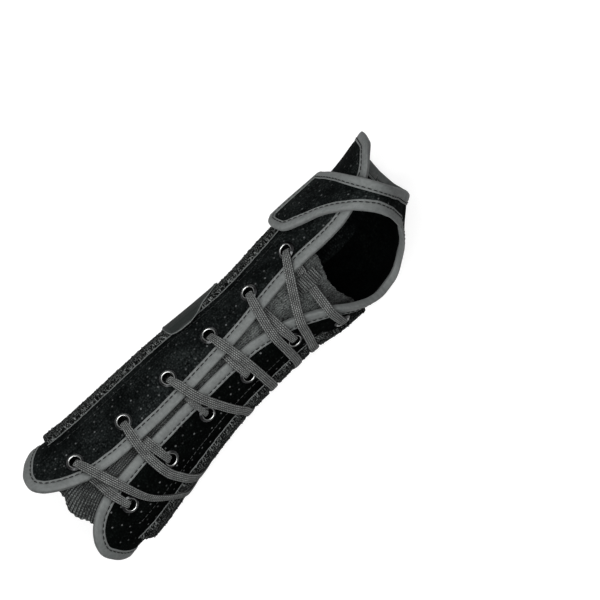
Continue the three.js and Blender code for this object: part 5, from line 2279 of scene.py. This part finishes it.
@dataclass
class SeamLines(SubAssembly):
    """The fine sewn lines along the pad on both panels."""

    palm_turn: float = -51.8
    back_turn: float = 57.5
    palm_span: Span = (-98.0, 34.0)
    back_span: Span = (-100.0, 60.0)
    lift: float = 3.05

    def build(self, palm_thread: Thread, back_thread: Thread) -> list[Piece]:
        """Builds and dresses the sewn lines.

        Args:
            palm_thread: The finish of the line on the palm.
            back_thread: The finish of the line on the back.

        Returns:
            The two lines.
        """
        made, sewing = [], Stitching(length=2.3, pitch=2.9, radius=0.14, bow=0.16)
        palm, back = (self.palm_turn, self.palm_span, palm_thread), (self.back_turn, self.back_span, back_thread)
        for name, (turn, (start, end), thread) in (("palm", palm), ("back", back)):
            x = np.linspace(start, end, 240)
            turns = np.full_like(x, math.radians(turn))
            line, out = SLEEVE.place(x, turns, self.lift), SLEEVE.outward(x, turns)
            made.append(self.shop.fit(sewing.piece(f"{name}_seam_stitches", line, out), Slot.VELOUR, thread))
        return made


@dataclass
class Studio:
    """A pale floor, soft light and a camera straight above the lacing."""

    centre: Span = (41.2, -5.6)
    frame_width: float = 307.8
    plane: float = 55.0
    distance: float = 6000.0
    roll: float = -45.0
    sensor: float = 36.0
    floor_side: float = 6.0
    floor_drop: float = 0.0004
    floor_glow: float = 0.8
    floor_bounce: float = 0.32
    sky: float = 0.27
    lamps: tuple[tuple[str, tuple[float, float, float], float, float], ...] = (
        ("overhead", (-0.01, 0.02, 0.36), 0.3, 1.38),
        ("elbow_side", (-1.1, 0.1, 1.2), 0.7, 6.0),
        ("hand_side", (1.1, 0.2, 1.2), 0.8, 2.0),
        ("back_side", (0.1, 1.2, 1.2), 0.9, 3.5),
    )

    def build_camera(self) -> None:
        """Sets the camera overhead, turned as the picture is."""
        data = bpy.data.cameras.new("overhead")
        data.sensor_width = self.sensor
        data.lens = self.sensor * self.distance / self.frame_width
        data.clip_start, data.clip_end = 0.05, 20.0
        camera = bpy.data.objects.new("overhead", data)
        camera.location = Vector((*self.centre, self.plane + self.distance)) * MM
        camera.rotation_euler = (0.0, 0.0, math.radians(self.roll))
        bpy.context.scene.collection.objects.link(camera)
        bpy.context.scene.camera = camera

    def build_floor(self) -> None:
        """Lays the floor under the brace."""
        half = self.floor_side / 2
        mesh = bpy.data.meshes.new("floor")
        corners = [(x * half, y * half, -self.floor_drop) for x, y in ((-1, -1), (1, -1), (1, 1), (-1, 1))]
        mesh.from_pydata(corners, [], [(0, 1, 2, 3)])
        material = bpy.data.materials.new("Pale floor")
        material.use_nodes = True
        tree = Tree(material.node_tree)
        shader = material.node_tree.nodes["Principled BSDF"]
        shader.inputs["Specular IOR Level"].default_value = 0.1
        seen = tree.add("ShaderNodeLightPath").outputs["Is Camera Ray"]
        share = self.floor_bounce
        tree.feed(shader.inputs["Emission Color"], tree.blend(seen, (share, share, share), (1.0, 1.0, 1.0)))
        shader.inputs["Emission Strength"].default_value = self.floor_glow
        grain = tree.noise(tree.add("ShaderNodeTexCoord").outputs["Object"], 3.0)
        tree.feed(shader.inputs["Base Color"], tree.blend(grain, (0.34, 0.34, 0.34), (0.36, 0.36, 0.36)))
        tree.feed(shader.inputs["Roughness"], tree.scaled(grain, 0.2, 0.7))
        mesh.materials.append(material)
        floor = bpy.data.objects.new("floor", mesh)
        bpy.context.scene.collection.objects.link(floor)

    def build_light(self, name: str, place: tuple[float, float, float], size: float, power: float) -> None:
        """Hangs a soft light that faces the brace.

        Args:
            name: The light's name.
            place: Where it hangs, in metres.
            size: Its side, in metres.
            power: Its power, in watts.
        """
        data = bpy.data.lights.new(name, "AREA")
        data.size, data.energy = size, power
        light = bpy.data.objects.new(name, data)
        light.location = place
        aim = Vector((0.0, 0.0, 0.04)) - Vector(place)
        light.rotation_euler = aim.to_track_quat("-Z", "Y").to_euler()
        light.visible_camera = False
        bpy.context.scene.collection.objects.link(light)

    def build(self) -> None:
        """Builds the whole studio."""
        self.build_camera()
        self.build_floor()
        for lamp in self.lamps:
            self.build_light(*lamp)
        world = bpy.data.worlds.new("studio")
        world.use_nodes = True
        sky = world.node_tree.nodes["Background"]
        sky.inputs["Color"].default_value = (1.0, 1.0, 1.0, 1.0)
        sky.inputs["Strength"].default_value = self.sky
        bpy.context.scene.world = world
        bpy.context.scene.view_settings.view_transform = "Standard"


def main() -> None:
    """Builds the brace piece by piece, and the studio round it."""
    logging.basicConfig(level=logging.INFO, format="%(name)s %(message)s")
    shop = Workshop(Effects())
    Studio().build()
    tape, braid = TapeCloth(), Braid()
    # The back panel and the thumb strap get a lighter copy of the velour, painted sheen from the side the light
    # falls on.
    painted_sheen = Velour(
        "Velour with painted sheen", (0.0006, 0.0009, 0.0009), (0.0098, 0.0120, 0.0119), (0.026, 0.0298, 0.0293),
        (0.105, 0.111, 0.110), 0.006,
    )
    # The palm panel gets a darker copy of the same velour, painted shade.
    smooth = Velour(
        "Velour with painted shade", (0.0003, 0.0004, 0.0004), (0.0020, 0.0029, 0.0025), (0.006, 0.0073, 0.0069),
        (0.135, 0.142, 0.140), 0.002,
    )
    dark_thread = Thread("Dark thread", (0.006, 0.006, 0.006), (0.016, 0.0165, 0.0165))
    pale_thread = Thread("Pale thread", (0.085, 0.091, 0.090), (0.155, 0.164, 0.161))
    hem_thread = Thread("Hem thread", (0.075, 0.081, 0.079), (0.130, 0.139, 0.136))
    seam_thread = Thread("Seam thread", (0.034, 0.0368, 0.0359), (0.064, 0.0685, 0.0669))
    faint_thread = Thread("Faint thread", (0.010, 0.0115, 0.0112), (0.026, 0.029, 0.0283))
    back = Panel(
        shop, "back_panel_cloth", "back_panel", BACK_LACING, BACK_ELBOW, BACK_HAND, SEAM_TURN,
        tuple(row.back for row in LACING),
    )
    palm = Panel(
        shop, "palm_panel_cloth", "palm_panel", PALM_LACING, PALM_ELBOW, PALM_HAND, -SEAM_TURN,
        tuple(row.palm for row in LACING), seed=12,
    )
    # Back panel: the velour with painted sheen; palm panel: the velour with painted shade.
    cloths = {panel.name: panel.build(nap) for panel, nap in ((back, painted_sheen), (palm, smooth))}
    strap = ThumbStrap(shop)
    strap.build(painted_sheen)
    tapes = Taping(shop, Binding(shop), tape, dark_thread).build(back, palm, strap)
    for panel in (back, palm):
        panel.declare(cloths[panel.name], tapes[panel.name])
    tongue = Tongue(shop)
    tongue.build(Knit())
    webbing = Braid(
        "Keeper webbing", low=(0.016, 0.0172, 0.0168), high=(0.150, 0.160, 0.156), column=1.35, stitch=0.9
    )
    tongue.build_keeper(webbing)
    ground = LoopPile("Pile ground", (0.0004, 0.0005, 0.0005), (0.0043, 0.0049, 0.0047), (0.144, 0.152, 0.149))
    loops = LoopPile("Pile loops", (0.002, 0.0021, 0.0021), (0.050, 0.053, 0.052), (0.116, 0.1225, 0.1205))
    pad = PilePad(shop)
    pad.build(ground)
    pad.build_loops(loops)
    pad.build_hems(pale_thread, hem_thread)
    pull = PullStrap(shop)
    pull.build(StrapWeb(), pad)
    pull.build_edge(hem_thread, pad)
    Eyelets(shop).build(PlatedMetal())
    Laces(shop).build(braid)
    SeamLines(shop).build(seam_thread, faint_thread)


if __name__ == "__main__":
    main()
